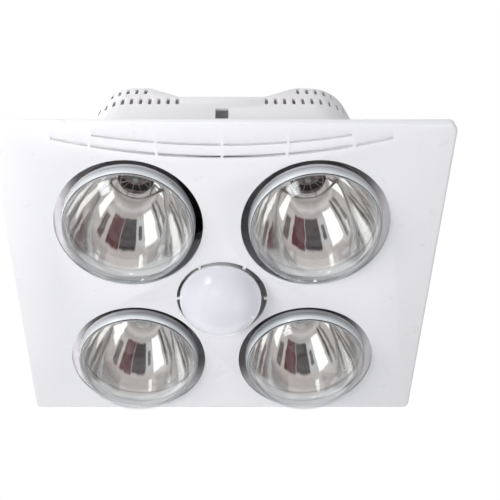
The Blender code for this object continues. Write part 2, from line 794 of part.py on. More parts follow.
def cap_profile(low):
    """Screw cap, closed on top with its centre contact, and open below to the glass."""
    high = low + CAP_LENGTH
    inside = CAP_RADIUS - CAP_SHEET
    return [
        (CAP_RADIUS, low),
        (CAP_RADIUS, high - CAP_SHOULDER),
        (CAP_HEAD_RADIUS, high - CAP_HEAD),
        (CAP_CONTACT_RADIUS, high - CAP_CONTACT),
        (CAP_CONTACT_RADIUS, high),
        (0.0, high),
        (0.0, high - CAP_HEAD),
        (CAP_CONTACT_RADIUS, high - CAP_HEAD - CAP_CONTACT),
        (inside, high - CAP_SHOULDER - CAP_SHEET),
        (inside, low),
    ]


def holder_profile(cap_low, top):
    """Lampholder of glazed ceramic: a skirt round the cap, and a thick closed top."""
    low = cap_low - HOLDER_SKIRT
    bore_top = cap_low + CAP_LENGTH + GAP
    return [
        (HOLDER_BORE, low),
        (HOLDER_RADIUS - HOLDER_EDGE, low),
        (HOLDER_RADIUS, low + HOLDER_EDGE),
        (HOLDER_RADIUS, top - HOLDER_HEAD - HOLDER_EDGE),
        (HOLDER_HEAD_RADIUS, top - HOLDER_HEAD),
        (HOLDER_HEAD_RADIUS, top),
        (0.0, top),
        (0.0, bore_top),
        (HOLDER_BORE, bore_top),
    ]


def filament_mesh():
    """Glass stem with its support wires and the ring of filament, as one solid about the lamp's axis."""
    high = NECK_END_Z - STEM_FLARE
    low = NECK_START_Z - STEM_BELOW_NECK
    ring_z = low - FILAMENT_BELOW_STEM
    thick = FILAMENT_WIRE
    seat = CAP_RADIUS - LAMP_GLASS - GAP
    stem = [
        (0.0, low),
        (0.6 * STEM_RADIUS, low),
        (STEM_RADIUS, low + STEM_TIP),
        (STEM_RADIUS, high - STEM_FLARE - thick),
        (seat, high - thick),
        (seat, high),
        (0.0, high),
    ]
    body = guide("filament_stem", turned(stem, PIN_STEPS, "filament_stem"))
    ring_section = [(thick, 0.0), (0.0, thick), (-thick, 0.0), (0.0, -thick)]
    ring = [(FILAMENT_RADIUS + r, ring_z + z) for r, z in ring_section]
    join(body, guide("filament_ring", turned(ring, SMALL_STEPS, "filament_ring")))
    bm = bmesh.new()
    for i in range(SUPPORT_WIRES):
        angle = 2 * math.pi * (i + 0.5) / SUPPORT_WIRES
        out = Vector((math.cos(angle), math.sin(angle), 0.0))
        across = Vector((-out.y, out.x, 0.0)) * 0.5 * thick
        rise = Vector((0.0, 0.0, 0.5 * thick))
        ends = (
            out * 0.4 * STEM_RADIUS + Vector((0.0, 0.0, low + 0.7 * STEM_TIP)),
            out * FILAMENT_RADIUS + Vector((0.0, 0.0, ring_z)),
        )
        section = (across - rise, across + rise, -across + rise, -across - rise)
        add_loft(bm, [[end + point for point in section] for end in ends])
    join(body, guide("filament_wires", mesh_of(bm, "filament_wires")))
    return body


def baked(obj, name):
    """The object's mesh with its modifiers applied, with its new edges shaded sharp."""
    graph = bpy.context.evaluated_depsgraph_get()
    mesh = bpy.data.meshes.new_from_object(obj.evaluated_get(graph))
    mesh.name = name
    mesh.shade_smooth()
    mesh.set_sharp_from_angle(angle=SHARP_ANGLE)
    return mesh


def make_heat_lamps(glass, brass, ceramic, wire):
    cap_low = NECK_END_Z + GAP
    glass_mesh = turned(lamp_profile(), LAMP_STEPS, "heat_lamp_glass")
    cap_mesh = turned(cap_profile(cap_low), SMALL_STEPS, "heat_lamp_cap")
    holder_mesh = turned(holder_profile(cap_low, CHASSIS_Z - GAP), SMALL_STEPS, "lampholder")
    wire_mesh = baked(filament_mesh(), "heat_lamp_filament")
    for place, (x, y) in LAMP_CENTRES.items():
        lamp = axis_empty(f"{place}_lamp_axis", (x, y, 0.0))
        piece(f"heat_lamp_glass_{place}", glass_mesh, glass, lamp)
        piece(f"heat_lamp_cap_{place}", cap_mesh, brass, lamp)
        piece(f"heat_lamp_filament_{place}", wire_mesh, wire, lamp)
        piece(f"lampholder_{place}", holder_mesh, ceramic, lamp)


def make_light(opal, white, brass, ceramic, steel):
    thin = LIGHT_SHELL
    outer = dome_points(LIGHT_RADIUS, LIGHT_DOME, LIGHT_WIDEST_Z, DOME_STEPS)
    inner = dome_points(LIGHT_RADIUS - thin, LIGHT_DOME - thin, LIGHT_WIDEST_Z, DOME_STEPS - 1)
    collar_low = LIGHT_WIDEST_Z + GAP
    collar_high = collar_low + LIGHT_COLLAR
    neck_z = collar_high + LIGHT_BODY
    cap_low = neck_z + GAP
    body = [
        (0.0, collar_low),
        (LIGHT_RADIUS, collar_low),
        (LIGHT_RADIUS, collar_low + LIGHT_COLLAR_EDGE / 2),
        (LIGHT_WAIST_RADIUS, collar_low + 1.5 * LIGHT_COLLAR_EDGE),
        (LIGHT_WAIST_RADIUS, collar_high),
        (LIGHT_SHOULDER_RADIUS, neck_z - HOLDER_SKIRT - LIGHT_SHOULDER),
        (LIGHT_NECK_RADIUS, neck_z - HOLDER_SKIRT - LIGHT_NECK_TAPER),
        (CAP_RADIUS, neck_z - HOLDER_SKIRT),
        (CAP_RADIUS, neck_z),
        (0.0, neck_z),
    ]
    holder_top = cap_low + CAP_LENGTH + HOLDER_TOP
    off_x, off_y = LIGHT_OFF_CENTRE
    axis = axis_empty("light_axis", (off_x, LIGHT_Y + off_y, 0.0))
    piece("light_diffuser", turned(outer + inner[::-1], LAMP_STEPS, "light_diffuser"), opal, axis)
    piece("light_body", turned(body, LAMP_STEPS, "light_body"), white, axis)
    piece("light_cap", turned(cap_profile(cap_low), SMALL_STEPS, "light_cap"), brass, axis)
    holder = holder_profile(cap_low, holder_top)
    piece("light_holder", turned(holder, SMALL_STEPS, "light_holder"), ceramic, axis)

    floor = holder_top + GAP
    top = CHASSIS_Z - GAP
    sheet = STRAP_SHEET
    right = [
        (STRAP_FLOOR_HALF, floor),
        (STRAP_FOOT_INNER, top - sheet),
        (STRAP_FOOT_OUTER, top - sheet),
        (STRAP_FOOT_OUTER, top),
        (STRAP_FOOT_INNER - sheet, top),
        (STRAP_FLOOR_HALF - sheet, floor + sheet),
    ]
    outline = right + [(-y, z) for y, z in reversed(right)]
    strap = sideways([outline], -STRAP_WIDTH / 2, STRAP_WIDTH / 2, "light_strap")
    piece("light_strap", strap, steel, axis)


# Fan


def scroll_radius(angle):
    """Inner radius of the scroll at an angle from +X, from its tongue round to +X again."""
    whole = 2 * math.pi - SCROLL_TONGUE
    growth = math.log(SCROLL_END_RADIUS / SCROLL_START_RADIUS) / whole
    return SCROLL_START_RADIUS * math.exp(growth * (angle - SCROLL_TONGUE))


def scroll_outline(grow, end_y):
    """Spiral and outlet channel in plan. The outlet ends at end_y."""
    east = FAN_X + SCROLL_END_RADIUS + grow
    west = FAN_X + SCROLL_END_RADIUS - OUTLET_WIDTH - grow
    rise = math.sqrt((SCROLL_START_RADIUS + grow) ** 2 - (west - FAN_X) ** 2)
    points = [(west, FAN_Y + rise + grow)]
    for i in range(SCROLL_STEPS + 1):
        angle = SCROLL_TONGUE + (2 * math.pi - SCROLL_TONGUE) * i / SCROLL_STEPS
        radius = scroll_radius(angle) + grow
        x = FAN_X + radius * math.cos(angle)
        y = FAN_Y + radius * math.sin(angle)
        if x < west - grow or angle > math.pi:
            points.append((x, y))
    return points + [(east, end_y), (west, end_y)]


def make_scroll(plastic):
    outer = scroll_outline(SCROLL_WALL, OUTLET_Y)
    obj = piece("fan_scroll", prisms([outer], SCROLL_Z, SCROLL_TOP_Z, "fan_scroll"), plastic)
    inner = scroll_outline(0.0, OUTLET_Y + PAST)
    space = prisms([inner], SCROLL_FLOOR_Z, SCROLL_TOP_Z + PAST, "scroll_inside")
    cut(obj, guide("scroll_inside", space))
    low = DECK_UNDERSIDE - INLET_LIP
    mouth = [
        (INLET_RADIUS - PAST, low),
        (INLET_RADIUS + SCROLL_WALL, low),
        (INLET_RADIUS + SCROLL_WALL, SCROLL_FLOOR_Z - OVERLAP),
        (INLET_RADIUS - PAST, SCROLL_FLOOR_Z - OVERLAP),
    ]
    join(obj, guide("inlet_lip", turned(mouth, HOLE_STEPS, "inlet_lip", [(FAN_X, FAN_Y)])))
    flare = [
        (0.0, low - PAST),
        (INLET_RADIUS + SCROLL_WALL / 2, low - PAST),
        (INLET_RADIUS + SCROLL_WALL / 2, low),
        (INLET_RADIUS, SCROLL_Z),
        (INLET_RADIUS, SCROLL_FLOOR_Z + PAST),
        (0.0, SCROLL_FLOOR_Z + PAST),
    ]
    cut(obj, guide("inlet_flare", turned(flare, HOLE_STEPS, "inlet_flare", [(FAN_X, FAN_Y)])))


def make_scroll_cover(plastic):
    outer = scroll_outline(SCROLL_WALL, OUTLET_Y)
    obj = piece("scroll_cover", prisms([outer], COVER_Z, COVER_TOP_Z, "scroll_cover"), plastic)
    ribs = []
    for i in range(COVER_RIBS):
        angle = 2 * math.pi * (i + 0.5) / COVER_RIBS
        out = Vector((math.cos(angle), math.sin(angle)))
        across = Vector((-out.y, out.x)) * COVER_RIB_WIDTH / 2
        ends = (
            out * (MOTOR_FLANGE_RADIUS + COVER_RIB_MARGIN),
            out * (SCROLL_START_RADIUS - COVER_RIB_MARGIN),
        )
        middle = Vector((FAN_X, FAN_Y))
        corners = (ends[0] - across, ends[1] - across, ends[1] + across, ends[0] + across)
        ribs.append([tuple(middle + corner) for corner in corners])
    low, high = COVER_TOP_Z - OVERLAP, COVER_TOP_Z + COVER_RIB_HEIGHT
    join(obj, guide("cover_ribs", prisms(ribs, low, high, "cover_ribs")))
    hole = circle(MOTOR_RADIUS + MOTOR_HOLE_CLEARANCE, LAMP_STEPS, (FAN_X, FAN_Y))
    cut(obj, guide("motor_hole", prisms([hole], COVER_Z - PAST, COVER_TOP_Z + PAST, "motor_hole")))


def blade_outline(middle):
    """Plan of one forward-curved blade that starts at this angle."""
    front, back = [], []
    for i in range(BLADE_STEPS + 1):
        t = i / BLADE_STEPS
        radius = BLADE_INNER + (IMPELLER_RADIUS - BLADE_TIP_SETBACK - BLADE_INNER) * t
        angle = middle + BLADE_SWEEP * t * t
        half = BLADE_THICKNESS / 2 / radius
        front.append((radius * math.cos(angle + half), radius * math.sin(angle + half)))
        back.append((radius * math.cos(angle - half), radius * math.sin(angle - half)))
    return back + front[::-1]


def make_impeller(plastic, axis):
    """Forward-curved wheel: a ring of blades between a shroud ring and a back plate with a deep hub."""
    low = SCROLL_FLOOR_Z + IMPELLER_CLEARANCE
    high = low + BLADE_HEIGHT
    cup_low = high - HUB_CUP_DEPTH
    boss_low = cup_low - HUB_BOSS_LENGTH
    bore = SHAFT_RADIUS + GAP
    back = [
        (bore, boss_low),
        (HUB_BOSS_RADIUS, boss_low),
        (HUB_BOSS_RADIUS, cup_low),
        (HUB_CUP_RADIUS, cup_low),
        (HUB_CUP_RADIUS, high - SHROUD),
        (IMPELLER_RADIUS, high - SHROUD),
        (IMPELLER_RADIUS, high),
        (HUB_CUP_RADIUS - SHROUD, high),
        (HUB_CUP_RADIUS - SHROUD, cup_low + SHROUD),
        (bore, cup_low + SHROUD),
    ]
    obj = piece("impeller", turned(back, LAMP_STEPS, "impeller"), plastic, axis)
    ring = ring_profile(BLADE_INNER - SHROUD_LIP, IMPELLER_RADIUS, low, low + SHROUD)
    outlines = [blade_outline(2 * math.pi * i / BLADES) for i in range(BLADES)]
    blades = prisms(outlines, low + SHROUD / 2, high - SHROUD / 2, "impeller_blades")
    join(
        obj,
        guide_at_axis("impeller_blades", blades, axis),
        guide_at_axis("impeller_shroud", turned(ring, LAMP_STEPS, "impeller_shroud"), axis),
    )


def guide_at_axis(name, mesh, axis):
    obj = guide(name, mesh)
    obj.parent = axis
    return obj


def make_motor(steel, dark_steel, copper, bright, axis):
    """Round induction motor that hangs through the cover into the wheel's hub."""
    flange_z = COVER_TOP_Z + GAP
    low = COVER_TOP_Z - MOTOR_BELOW_COVER
    seam = flange_z + MOTOR_FLANGE
    high = COVER_TOP_Z + MOTOR_ABOVE_COVER
    wall = MOTOR_WALL
    seat = BEARING_RADIUS + GAP
    lower = [
        (SHAFT_RADIUS + 2 * GAP, low),
        (MOTOR_RADIUS - MOTOR_LOWER_EDGE, low),
        (MOTOR_RADIUS, low + MOTOR_LOWER_EDGE),
        (MOTOR_RADIUS, flange_z),
        (MOTOR_FLANGE_RADIUS, flange_z),
        (MOTOR_FLANGE_RADIUS, seam),
        (MOTOR_RADIUS - wall, seam),
        (MOTOR_RADIUS - wall, low + MOTOR_LOWER_EDGE + MOTOR_BEND),
        (MOTOR_RADIUS - MOTOR_LOWER_EDGE - MOTOR_BEND, low + wall),
        (seat + wall, low + wall),
        (seat + wall, low + wall + BEARING_WIDTH),
        (seat, low + wall + BEARING_WIDTH),
        (seat, low + wall),
        (SHAFT_RADIUS + 2 * GAP, low + wall),
    ]
    piece("motor_lower_shell", turned(lower, LAMP_STEPS, "motor_lower_shell"), steel, axis)
    start = seam + GAP
    upper = [
        (MOTOR_RADIUS - wall, start),
        (MOTOR_FLANGE_RADIUS, start),
        (MOTOR_FLANGE_RADIUS, start + MOTOR_FLANGE),
        (MOTOR_RADIUS, start + MOTOR_FLANGE),
        (MOTOR_RADIUS, high - MOTOR_UPPER_EDGE),
        (MOTOR_RADIUS - MOTOR_UPPER_EDGE, high),
        (0.0, high),
        (0.0, high - wall),
        (seat, high - wall),
        (seat, high - wall - BEARING_WIDTH),
        (seat + wall, high - wall - BEARING_WIDTH),
        (seat + wall, high - wall),
        (MOTOR_RADIUS - MOTOR_UPPER_EDGE - MOTOR_BEND, high - wall),
        (MOTOR_RADIUS - wall, high - MOTOR_UPPER_EDGE - 2 * MOTOR_BEND),
    ]
    piece("motor_upper_shell", turned(upper, LAMP_STEPS, "motor_upper_shell"), steel, axis)

    core_low = (low + high - STATOR_HEIGHT) / 2
    core_high = core_low + STATOR_HEIGHT
    laminations = ring_profile(STATOR_BORE, MOTOR_RADIUS - wall - GAP, core_low, core_high)
    core = piece("stator_core", turned(laminations, LAMP_STEPS, "stator_core"), dark_steel, axis)
    slots, bars = [], []
    for i in range(STATOR_SLOTS):
        turn = Matrix.Rotation(2 * math.pi * (i + 0.5) / STATOR_SLOTS, 2)
        for grown, into in ((0.0, slots), (GAP, bars)):
            half = SLOT_OPENING / 2 - grown
            near, far = STATOR_BORE + SLOT_SETBACK + grown, STATOR_BORE + SLOT_DEPTH - grown
            corners = ((near, -half), (far, -half), (far, half), (near, half))
            into.append([tuple(turn @ Vector(corner)) for corner in corners])
    holes = prisms(slots, core_low - PAST, core_high + PAST, "stator_slots")
    cut(core, guide_at_axis("stator_slots", holes, axis))
    inner, outer = STATOR_BORE + SLOT_SETBACK, STATOR_BORE + SLOT_DEPTH + WINDING_PAST_SLOTS
    below, above = core_low - GAP, core_high + GAP
    ends = [
        turned(ring_profile(inner, outer, from_z, from_z + WINDING_HEIGHT), LAMP_STEPS, name)
        for name, from_z in (("stator_winding", below - WINDING_HEIGHT), ("upper_end_turns", above))
    ]
    winding = piece("stator_winding", ends[0], copper, axis)
    in_slots = prisms(bars, below - OVERLAP, above + OVERLAP, "slot_turns")
    join(
        winding,
        guide_at_axis("upper_end_turns", ends[1], axis),
        guide_at_axis("slot_turns", in_slots, axis),
    )
    seats = {
        "motor_lower_bearing": low + wall + GAP,
        "motor_upper_bearing": high - wall - BEARING_WIDTH,
    }
    for name, z in seats.items():
        ring = ring_profile(SHAFT_RADIUS + GAP, BEARING_RADIUS, z, z + BEARING_WIDTH - GAP)
        piece(name, turned(ring, SMALL_STEPS, name), bright, axis)
    rotor = ring_profile(SHAFT_RADIUS + GAP, STATOR_BORE - AIR_GAP, core_low, core_high)
    piece("rotor_core", turned(rotor, LAMP_STEPS, "rotor_core"), dark_steel, axis)
    foot = SCROLL_FLOOR_Z + IMPELLER_CLEARANCE + BLADE_HEIGHT - HUB_CUP_DEPTH - HUB_BOSS_LENGTH
    head = high - wall - GAP
    shaft = ring_profile(0.0, SHAFT_RADIUS, foot, head)
    piece("motor_shaft", turned(shaft, SMALL_STEPS, "motor_shaft"), bright, axis)


# Duct spigot and flap


def duct_ring(y, grow, roundness):
    """A section of the spigot at y: the outlet's rectangle, or the round duct, or between them."""
    half_width = OUTLET_WIDTH / 2 + grow
    half_height = SCROLL_HEIGHT / 2 + grow
    corner = math.atan2(SCROLL_HEIGHT, OUTLET_WIDTH)
    stretches = ((-corner, corner, DUCT_SIDE_STEPS), (corner, math.pi - corner, DUCT_TOP_STEPS))
    turns = []
    for start in (0.0, math.pi):
        for first, last, steps in stretches:
            turns += [start + first + (last - first) * i / steps for i in range(steps)]
    points = []
    for angle in turns:
        across, up = math.cos(angle), math.sin(angle)
        flat = abs(math.remainder(angle, math.pi))
        reach = half_width / abs(across) if flat <= corner + 1e-9 else half_height / abs(up)
        if abs(flat - corner) < 1e-9:
            square = (math.copysign(half_width, across), math.copysign(half_height, up))
        else:
            square = (reach * across, reach * up)
        round_point = ((SPIGOT_RADIUS + grow) * across, (SPIGOT_RADIUS + grow) * up)
        x, z = (s + (r - s) * roundness for s, r in zip(square, round_point))
        points.append((OUTLET_MIDDLE_X + x, y, OUTLET_MIDDLE_Z + z))
    return points


def make_spigot(plastic):
    loft_y = COLLAR_Y + COLLAR_LENGTH
    round_y = loft_y + TRANSITION_LENGTH
    end_y = round_y + SPIGOT_LENGTH
    wall = SPIGOT_WALL
    bead = round_y + SPIGOT_LENGTH * SPIGOT_BEAD_PLACE
    sections = [
        (SPIGOT_Y, wall, 0.0),
        (loft_y, wall, 0.0),
        ((loft_y + round_y) / 2, wall, 0.5),
        (round_y, wall, 1.0),
        (bead - SPIGOT_BEAD_HALF, wall, 1.0),
        (bead, wall + SPIGOT_BEAD, 1.0),
        (bead + SPIGOT_BEAD_HALF, wall, 1.0),
        (end_y, wall, 1.0),
        (end_y, 0.0, 1.0),
        (round_y, 0.0, 1.0),
        ((loft_y + round_y) / 2, 0.0, 0.5),
        (loft_y, 0.0, 0.0),
        (SPIGOT_Y, 0.0, 0.0),
    ]
    mesh = loft([duct_ring(*section) for section in sections], "duct_spigot", ring_closes=True)
    obj = piece("duct_spigot", mesh, plastic)
    middle = OUTLET_MIDDLE_X
    half = OUTLET_WIDTH / 2
    frame = (SPIGOT_Y, SPIGOT_Y + SPIGOT_FLANGE)
    side = SPIGOT_FLANGE_REACH + SCROLL_WALL
    inside = wall / 2
    top = SCROLL_TOP_Z + inside
    flanges = [
        (middle + half + inside, middle + half + side, *frame, SCROLL_Z, top + side),
        (middle - half - side, middle - half - inside, *frame, SCROLL_Z, top + side),
    ]
    upper = [(middle - half - side / 2, middle + half + side / 2, *frame, top, top + side)]
    ears = guide("spigot_side_flanges", boxes(flanges, "spigot_side_flanges"))
    head = guide("spigot_top_flange", boxes(upper, "spigot_top_flange"))
    stop_y = FLAP_PIN_Y - FLAP_SHEET / 2 - GAP
    across = (middle - half - OVERLAP, middle + half + OVERLAP)
    rise = (SCROLL_FLOOR_Z - OVERLAP, SCROLL_FLOOR_Z + FLAP_STOP_HEIGHT)
    step = boxes([(*across, stop_y - FLAP_STOP_THICKNESS, stop_y, *rise)], "flap_stop")
    join(obj, ears, head, guide("flap_stop", step))
    hole = circle(FLAP_PIN_RADIUS + GAP, PIN_STEPS, (FLAP_PIN_Y, FLAP_PIN_Z))
    reach = half + 2 * wall
    cut(obj, guide("pin_hole", sideways([hole], middle - reach, middle + reach, "pin_hole")))


def make_flap(plastic, steel):
    axis = axis_empty("flap_axis", (OUTLET_MIDDLE_X, FLAP_PIN_Y, FLAP_PIN_Z))
    half = OUTLET_WIDTH / 2 - FLAP_SIDE_CLEARANCE
    drop = FLAP_PIN_Z - SCROLL_FLOOR_Z - FLAP_FOOT_CLEARANCE
    sheet = boxes([(-half, half, -FLAP_SHEET / 2, FLAP_SHEET / 2, -drop, 0.0)], "backdraft_flap")
    obj = piece("backdraft_flap", sheet, plastic, axis)
    knuckle = circle(FLAP_KNUCKLE_RADIUS, PIN_STEPS)
    tube = guide_at_axis("flap_knuckle", sideways([knuckle], -half, half, "flap_knuckle"), axis)
    bore = circle(FLAP_PIN_RADIUS + GAP, PIN_STEPS)
    join(obj, tube)
    hollow = sideways([bore], -half - PAST, half + PAST, "knuckle_bore")
    cut(obj, guide_at_axis("knuckle_bore", hollow, axis))
    reach = OUTLET_WIDTH / 2 + SPIGOT_WALL
    pin = sideways([circle(FLAP_PIN_RADIUS, PIN_STEPS)], -reach, reach, "flap_pin")
    piece("flap_pin", pin, steel, axis)


# Wiring


def make_terminals(plastic, white):
    floor = VALLEY_HEIGHT + GAP
    half = TERMINAL_WIDTH / 2
    south, north = TERMINAL_Y - TERMINAL_DEPTH / 2, TERMINAL_Y + TERMINAL_DEPTH / 2
    block = boxes([(-half, half, south, north, floor, floor + TERMINAL_HEIGHT)], "terminal_block")
    obj = piece("terminal_block", block, plastic)
    low, high = floor + TERMINAL_HEIGHT / 2, floor + TERMINAL_HEIGHT + PAST
    grooves = []
    for i in range(1, TERMINAL_WAYS):
        x = -half + i * TERMINAL_WIDTH / TERMINAL_WAYS
        sides = (x - TERMINAL_GROOVE / 2, x + TERMINAL_GROOVE / 2)
        grooves.append((*sides, south - PAST, north + PAST, low, high))
    cut(obj, guide("terminal_grooves", boxes(grooves, "terminal_grooves")))

    wall = COVER_BOX_WALL
    top = floor + COVER_BOX_HEIGHT
    outlines = [
        rounded_rectangle(
            -COVER_BOX_HALF_WIDTH + inset,
            COVER_BOX_HALF_WIDTH - inset,
            TERMINAL_Y - COVER_BOX_HALF_LENGTH + inset,
            TERMINAL_Y + COVER_BOX_HALF_LENGTH - inset,
            COVER_BOX_CORNER - inset,
            SMALL_CORNER_STEPS,
        )
        for inset in (0.0, wall)
    ]
    cover = piece("terminal_cover", prisms(outlines[:1], floor, top, "terminal_cover"), white)
    entry = circle(GLAND_THREAD + GAP, SMALL_STEPS, (GLAND_X, TERMINAL_Y))
    cut(
        cover,
        guide("cover_inside", prisms(outlines[1:], floor - PAST, top - wall, "cover_inside")),
        guide("cable_entry", prisms([entry], top - wall - PAST, top + PAST, "cable_entry")),
    )
    gland = [
        (GLAND_BORE, top - wall - GLAND_BELOW),
        (GLAND_THREAD, top - wall - GLAND_BELOW),
        (GLAND_THREAD, top + GAP),
        (GLAND_NUT, top + GAP),
        (GLAND_NUT, top + GLAND_NUT_HEIGHT),
        (GLAND_RIM, top + GLAND_HEIGHT),
        (GLAND_BORE, top + GLAND_HEIGHT),
    ]
    nut = turned(gland, SMALL_STEPS, "cable_gland")
    piece("cable_gland", nut, plastic, None, (GLAND_X, TERMINAL_Y, 0.0))


def make_capacitor(plastic):
    low = DECK_HEIGHT + GAP
    outline = rounded_rectangle(
        CAPACITOR_X - CAPACITOR_WIDTH / 2,
        CAPACITOR_X + CAPACITOR_WIDTH / 2,
        CAPACITOR_Y - CAPACITOR_LENGTH / 2,
        CAPACITOR_Y + CAPACITOR_LENGTH / 2,
        CAPACITOR_CORNER,
        SMALL_CORNER_STEPS,
    )
    piece("run_capacitor", prisms([outline], low, low + CAPACITOR_HEIGHT, "run_capacitor"), plastic)


def apply_modifiers():
    """Turns the Booleans into plain meshes, after which their guides have done their work."""
    for obj in [o for o in bpy.data.objects if o.modifiers and not o.hide_render]:
        mesh = baked(obj, obj.name)
        obj.modifiers.clear()
        obj.data = mesh
    for obj in [o for o in bpy.data.objects if o.hide_render]:
        bpy.data.objects.remove(obj, do_unlink=True)


def build():
    clear_scene()
    white = finish("white moulding", (0.86, 0.86, 0.88), 0.35)
    housing_white = finish("housing moulding", (0.80, 0.79, 0.80), 0.45)
    glass = finish("silvered glass", (0.80, 0.80, 0.80), 0.08, 1.0)
    opal = finish("opal diffuser", (0.85, 0.86, 0.90), 0.30)
    brass = finish("nickel plate", (0.75, 0.72, 0.66), 0.30, 1.0)
    ceramic = finish("glazed ceramic", (0.85, 0.83, 0.78), 0.25)
    wire = finish("support wire", (0.60, 0.58, 0.56), 0.35, 1.0)
    zinc = finish("zinc sheet", (0.62, 0.63, 0.65), 0.40, 1.0)
    grey = finish("grey moulding", (0.30, 0.31, 0.33), 0.50)
    black = finish("black moulding", (0.05, 0.05, 0.055), 0.50)
    dark_steel = finish("laminations", (0.20, 0.20, 0.22), 0.50, 1.0)
    copper = finish("enamelled wire", (0.60, 0.27, 0.12), 0.35, 1.0)
    bright = finish("bright steel", (0.70, 0.70, 0.72), 0.20, 1.0)

    make_fascia(white)
    make_housing(housing_white)
    make_chassis(zinc)
    make_heat_lamps(glass, brass, ceramic, wire)
    make_light(opal, white, brass, ceramic, zinc)
    make_scroll(grey)
    make_scroll_cover(grey)
    fan_axis = axis_empty("fan_axis", (FAN_X, FAN_Y, 0.0))
    make_impeller(black, fan_axis)
    make_motor(zinc, dark_steel, copper, bright, fan_axis)
    make_spigot(grey)
    make_flap(black, bright)
    make_terminals(black, white)
    make_capacitor(white)
    apply_modifiers()


build()
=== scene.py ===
"""Looks of the ceiling heater, light and fan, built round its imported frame. Metres, +Z up."""

import itertools
import math

import bmesh
import bpy
from mathutils import Matrix, Vector


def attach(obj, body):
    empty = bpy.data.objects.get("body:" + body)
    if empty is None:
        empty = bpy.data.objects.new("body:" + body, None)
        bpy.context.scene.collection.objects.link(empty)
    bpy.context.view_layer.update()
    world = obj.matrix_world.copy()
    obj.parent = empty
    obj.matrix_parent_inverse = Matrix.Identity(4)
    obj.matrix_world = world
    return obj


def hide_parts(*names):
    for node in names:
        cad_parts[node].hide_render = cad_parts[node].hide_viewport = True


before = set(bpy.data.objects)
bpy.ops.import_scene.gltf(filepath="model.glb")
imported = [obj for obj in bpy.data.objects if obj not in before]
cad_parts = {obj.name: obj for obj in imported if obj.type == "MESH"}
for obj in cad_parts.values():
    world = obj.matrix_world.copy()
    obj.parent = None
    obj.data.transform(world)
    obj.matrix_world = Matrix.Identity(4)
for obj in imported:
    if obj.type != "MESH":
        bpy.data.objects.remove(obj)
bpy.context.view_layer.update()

GAP = 0.0003
PAST = 0.004

# Fascia
FASCIA_HALF_WIDTH = 0.204
FASCIA_NEAR = 0.187
FASCIA_FAR = 0.1565
FASCIA_BOX = (-FASCIA_HALF_WIDTH, FASCIA_HALF_WIDTH, -FASCIA_NEAR, FASCIA_FAR)
FASCIA_WALL = 0.0025
FASCIA_CORNER = 0.006
FASCIA_EDGE = 0.0025
FACE_Z = -0.0125
BAND_START = 0.1495
BAND_RADIUS = 0.520
BAND_SLOPE = 0.10
BAND_STEPS = 64
SLOT_RIB = 0.0024
LOWER_SLOT = (0.1564, 0.600, 0.0030, (0.0, 0.0575, 0.116, 0.149))
UPPER_SLOT = (0.1678, 0.670, 0.0024, (0.0, 0.058, 0.1135))

# Lamps and light
LAMP_X = 0.087
LAMP_Y = 0.084
LAMP_HOLE_RADIUS = 0.0695
LAMP_RADIUS = 0.0626
LAMP_WIDEST_Z = FACE_Z + 0.004
LAMP_DOME = 0.047
LAMP_GLASS = 0.0012
LAMP_BOWL_SHARE = 0.79
LAMP_BOWL_POWER = 1.12
LAMP_BOWL_STEPS = 40
SILVER_BELOW_WIDEST = 0.0125
RIM_ABOVE_WIDEST = 0.003
NECK_RADIUS = 0.0195
NECK_SHOULDER = 0.0055
NECK_DARK = 0.0055
CHASSIS_Z = 0.1331
CAP_LENGTH = 0.027
CAP_RADIUS = 0.0131
HOLDER_TOP = 0.010
HOLDER_SKIRT = 0.003
HOLDER_RADIUS = 0.0225
HOLDER_BORE = 0.0142
HOLDER_HEAD = 0.010
HOLDER_HEAD_RADIUS = 0.0195
HOLDER_GROOVE = 0.0009
SHIELD_RADIUS = 0.0148
SHIELD_BORE = 0.0058
SHIELD_SHEET = 0.0004
SHIELD_BELOW_END = 0.0105
STEM_RADIUS = 0.0055
STEM_BELOW_NECK = 0.006
STEM_BELOW_END = 0.0027
FILAMENT_RADIUS = 0.0150
FILAMENT_COIL = 0.00070
FILAMENT_TURNS = 110
NECK_END_Z = CHASSIS_Z - HOLDER_TOP - CAP_LENGTH - 3 * GAP
LAMP_BOWL = LAMP_BOWL_SHARE * (NECK_END_Z - LAMP_WIDEST_Z)
STEM_LOW_Z = LAMP_WIDEST_Z + LAMP_BOWL - STEM_BELOW_NECK
STEM_HIGH_Z = NECK_END_Z - STEM_BELOW_END
SHIELD_Z = NECK_END_Z - SHIELD_BELOW_END
SILVER_EDGE_Z = LAMP_WIDEST_Z - SILVER_BELOW_WIDEST
DARK_NECK_Z = NECK_END_Z - HOLDER_SKIRT - NECK_SHOULDER - NECK_DARK
LIGHT_Y = 0.003
LIGHT_HOLE_RADIUS = 0.0447
LIGHT_PLACE = (-0.0013, 0.0003, 0.0)
LIGHT_RADIUS = 0.0402
LIGHT_WAIST_RADIUS = 0.0382
LIGHT_WIDEST_Z = FACE_Z - 0.004
LIGHT_DOME = 0.031
LIGHT_SHELL = 0.0016
LIGHT_COLLAR = 0.007
LIGHT_NECK = 0.054
RING_TABS = 6
TAB_LENGTH = 0.0030
TAB_WIDTH = 0.0026

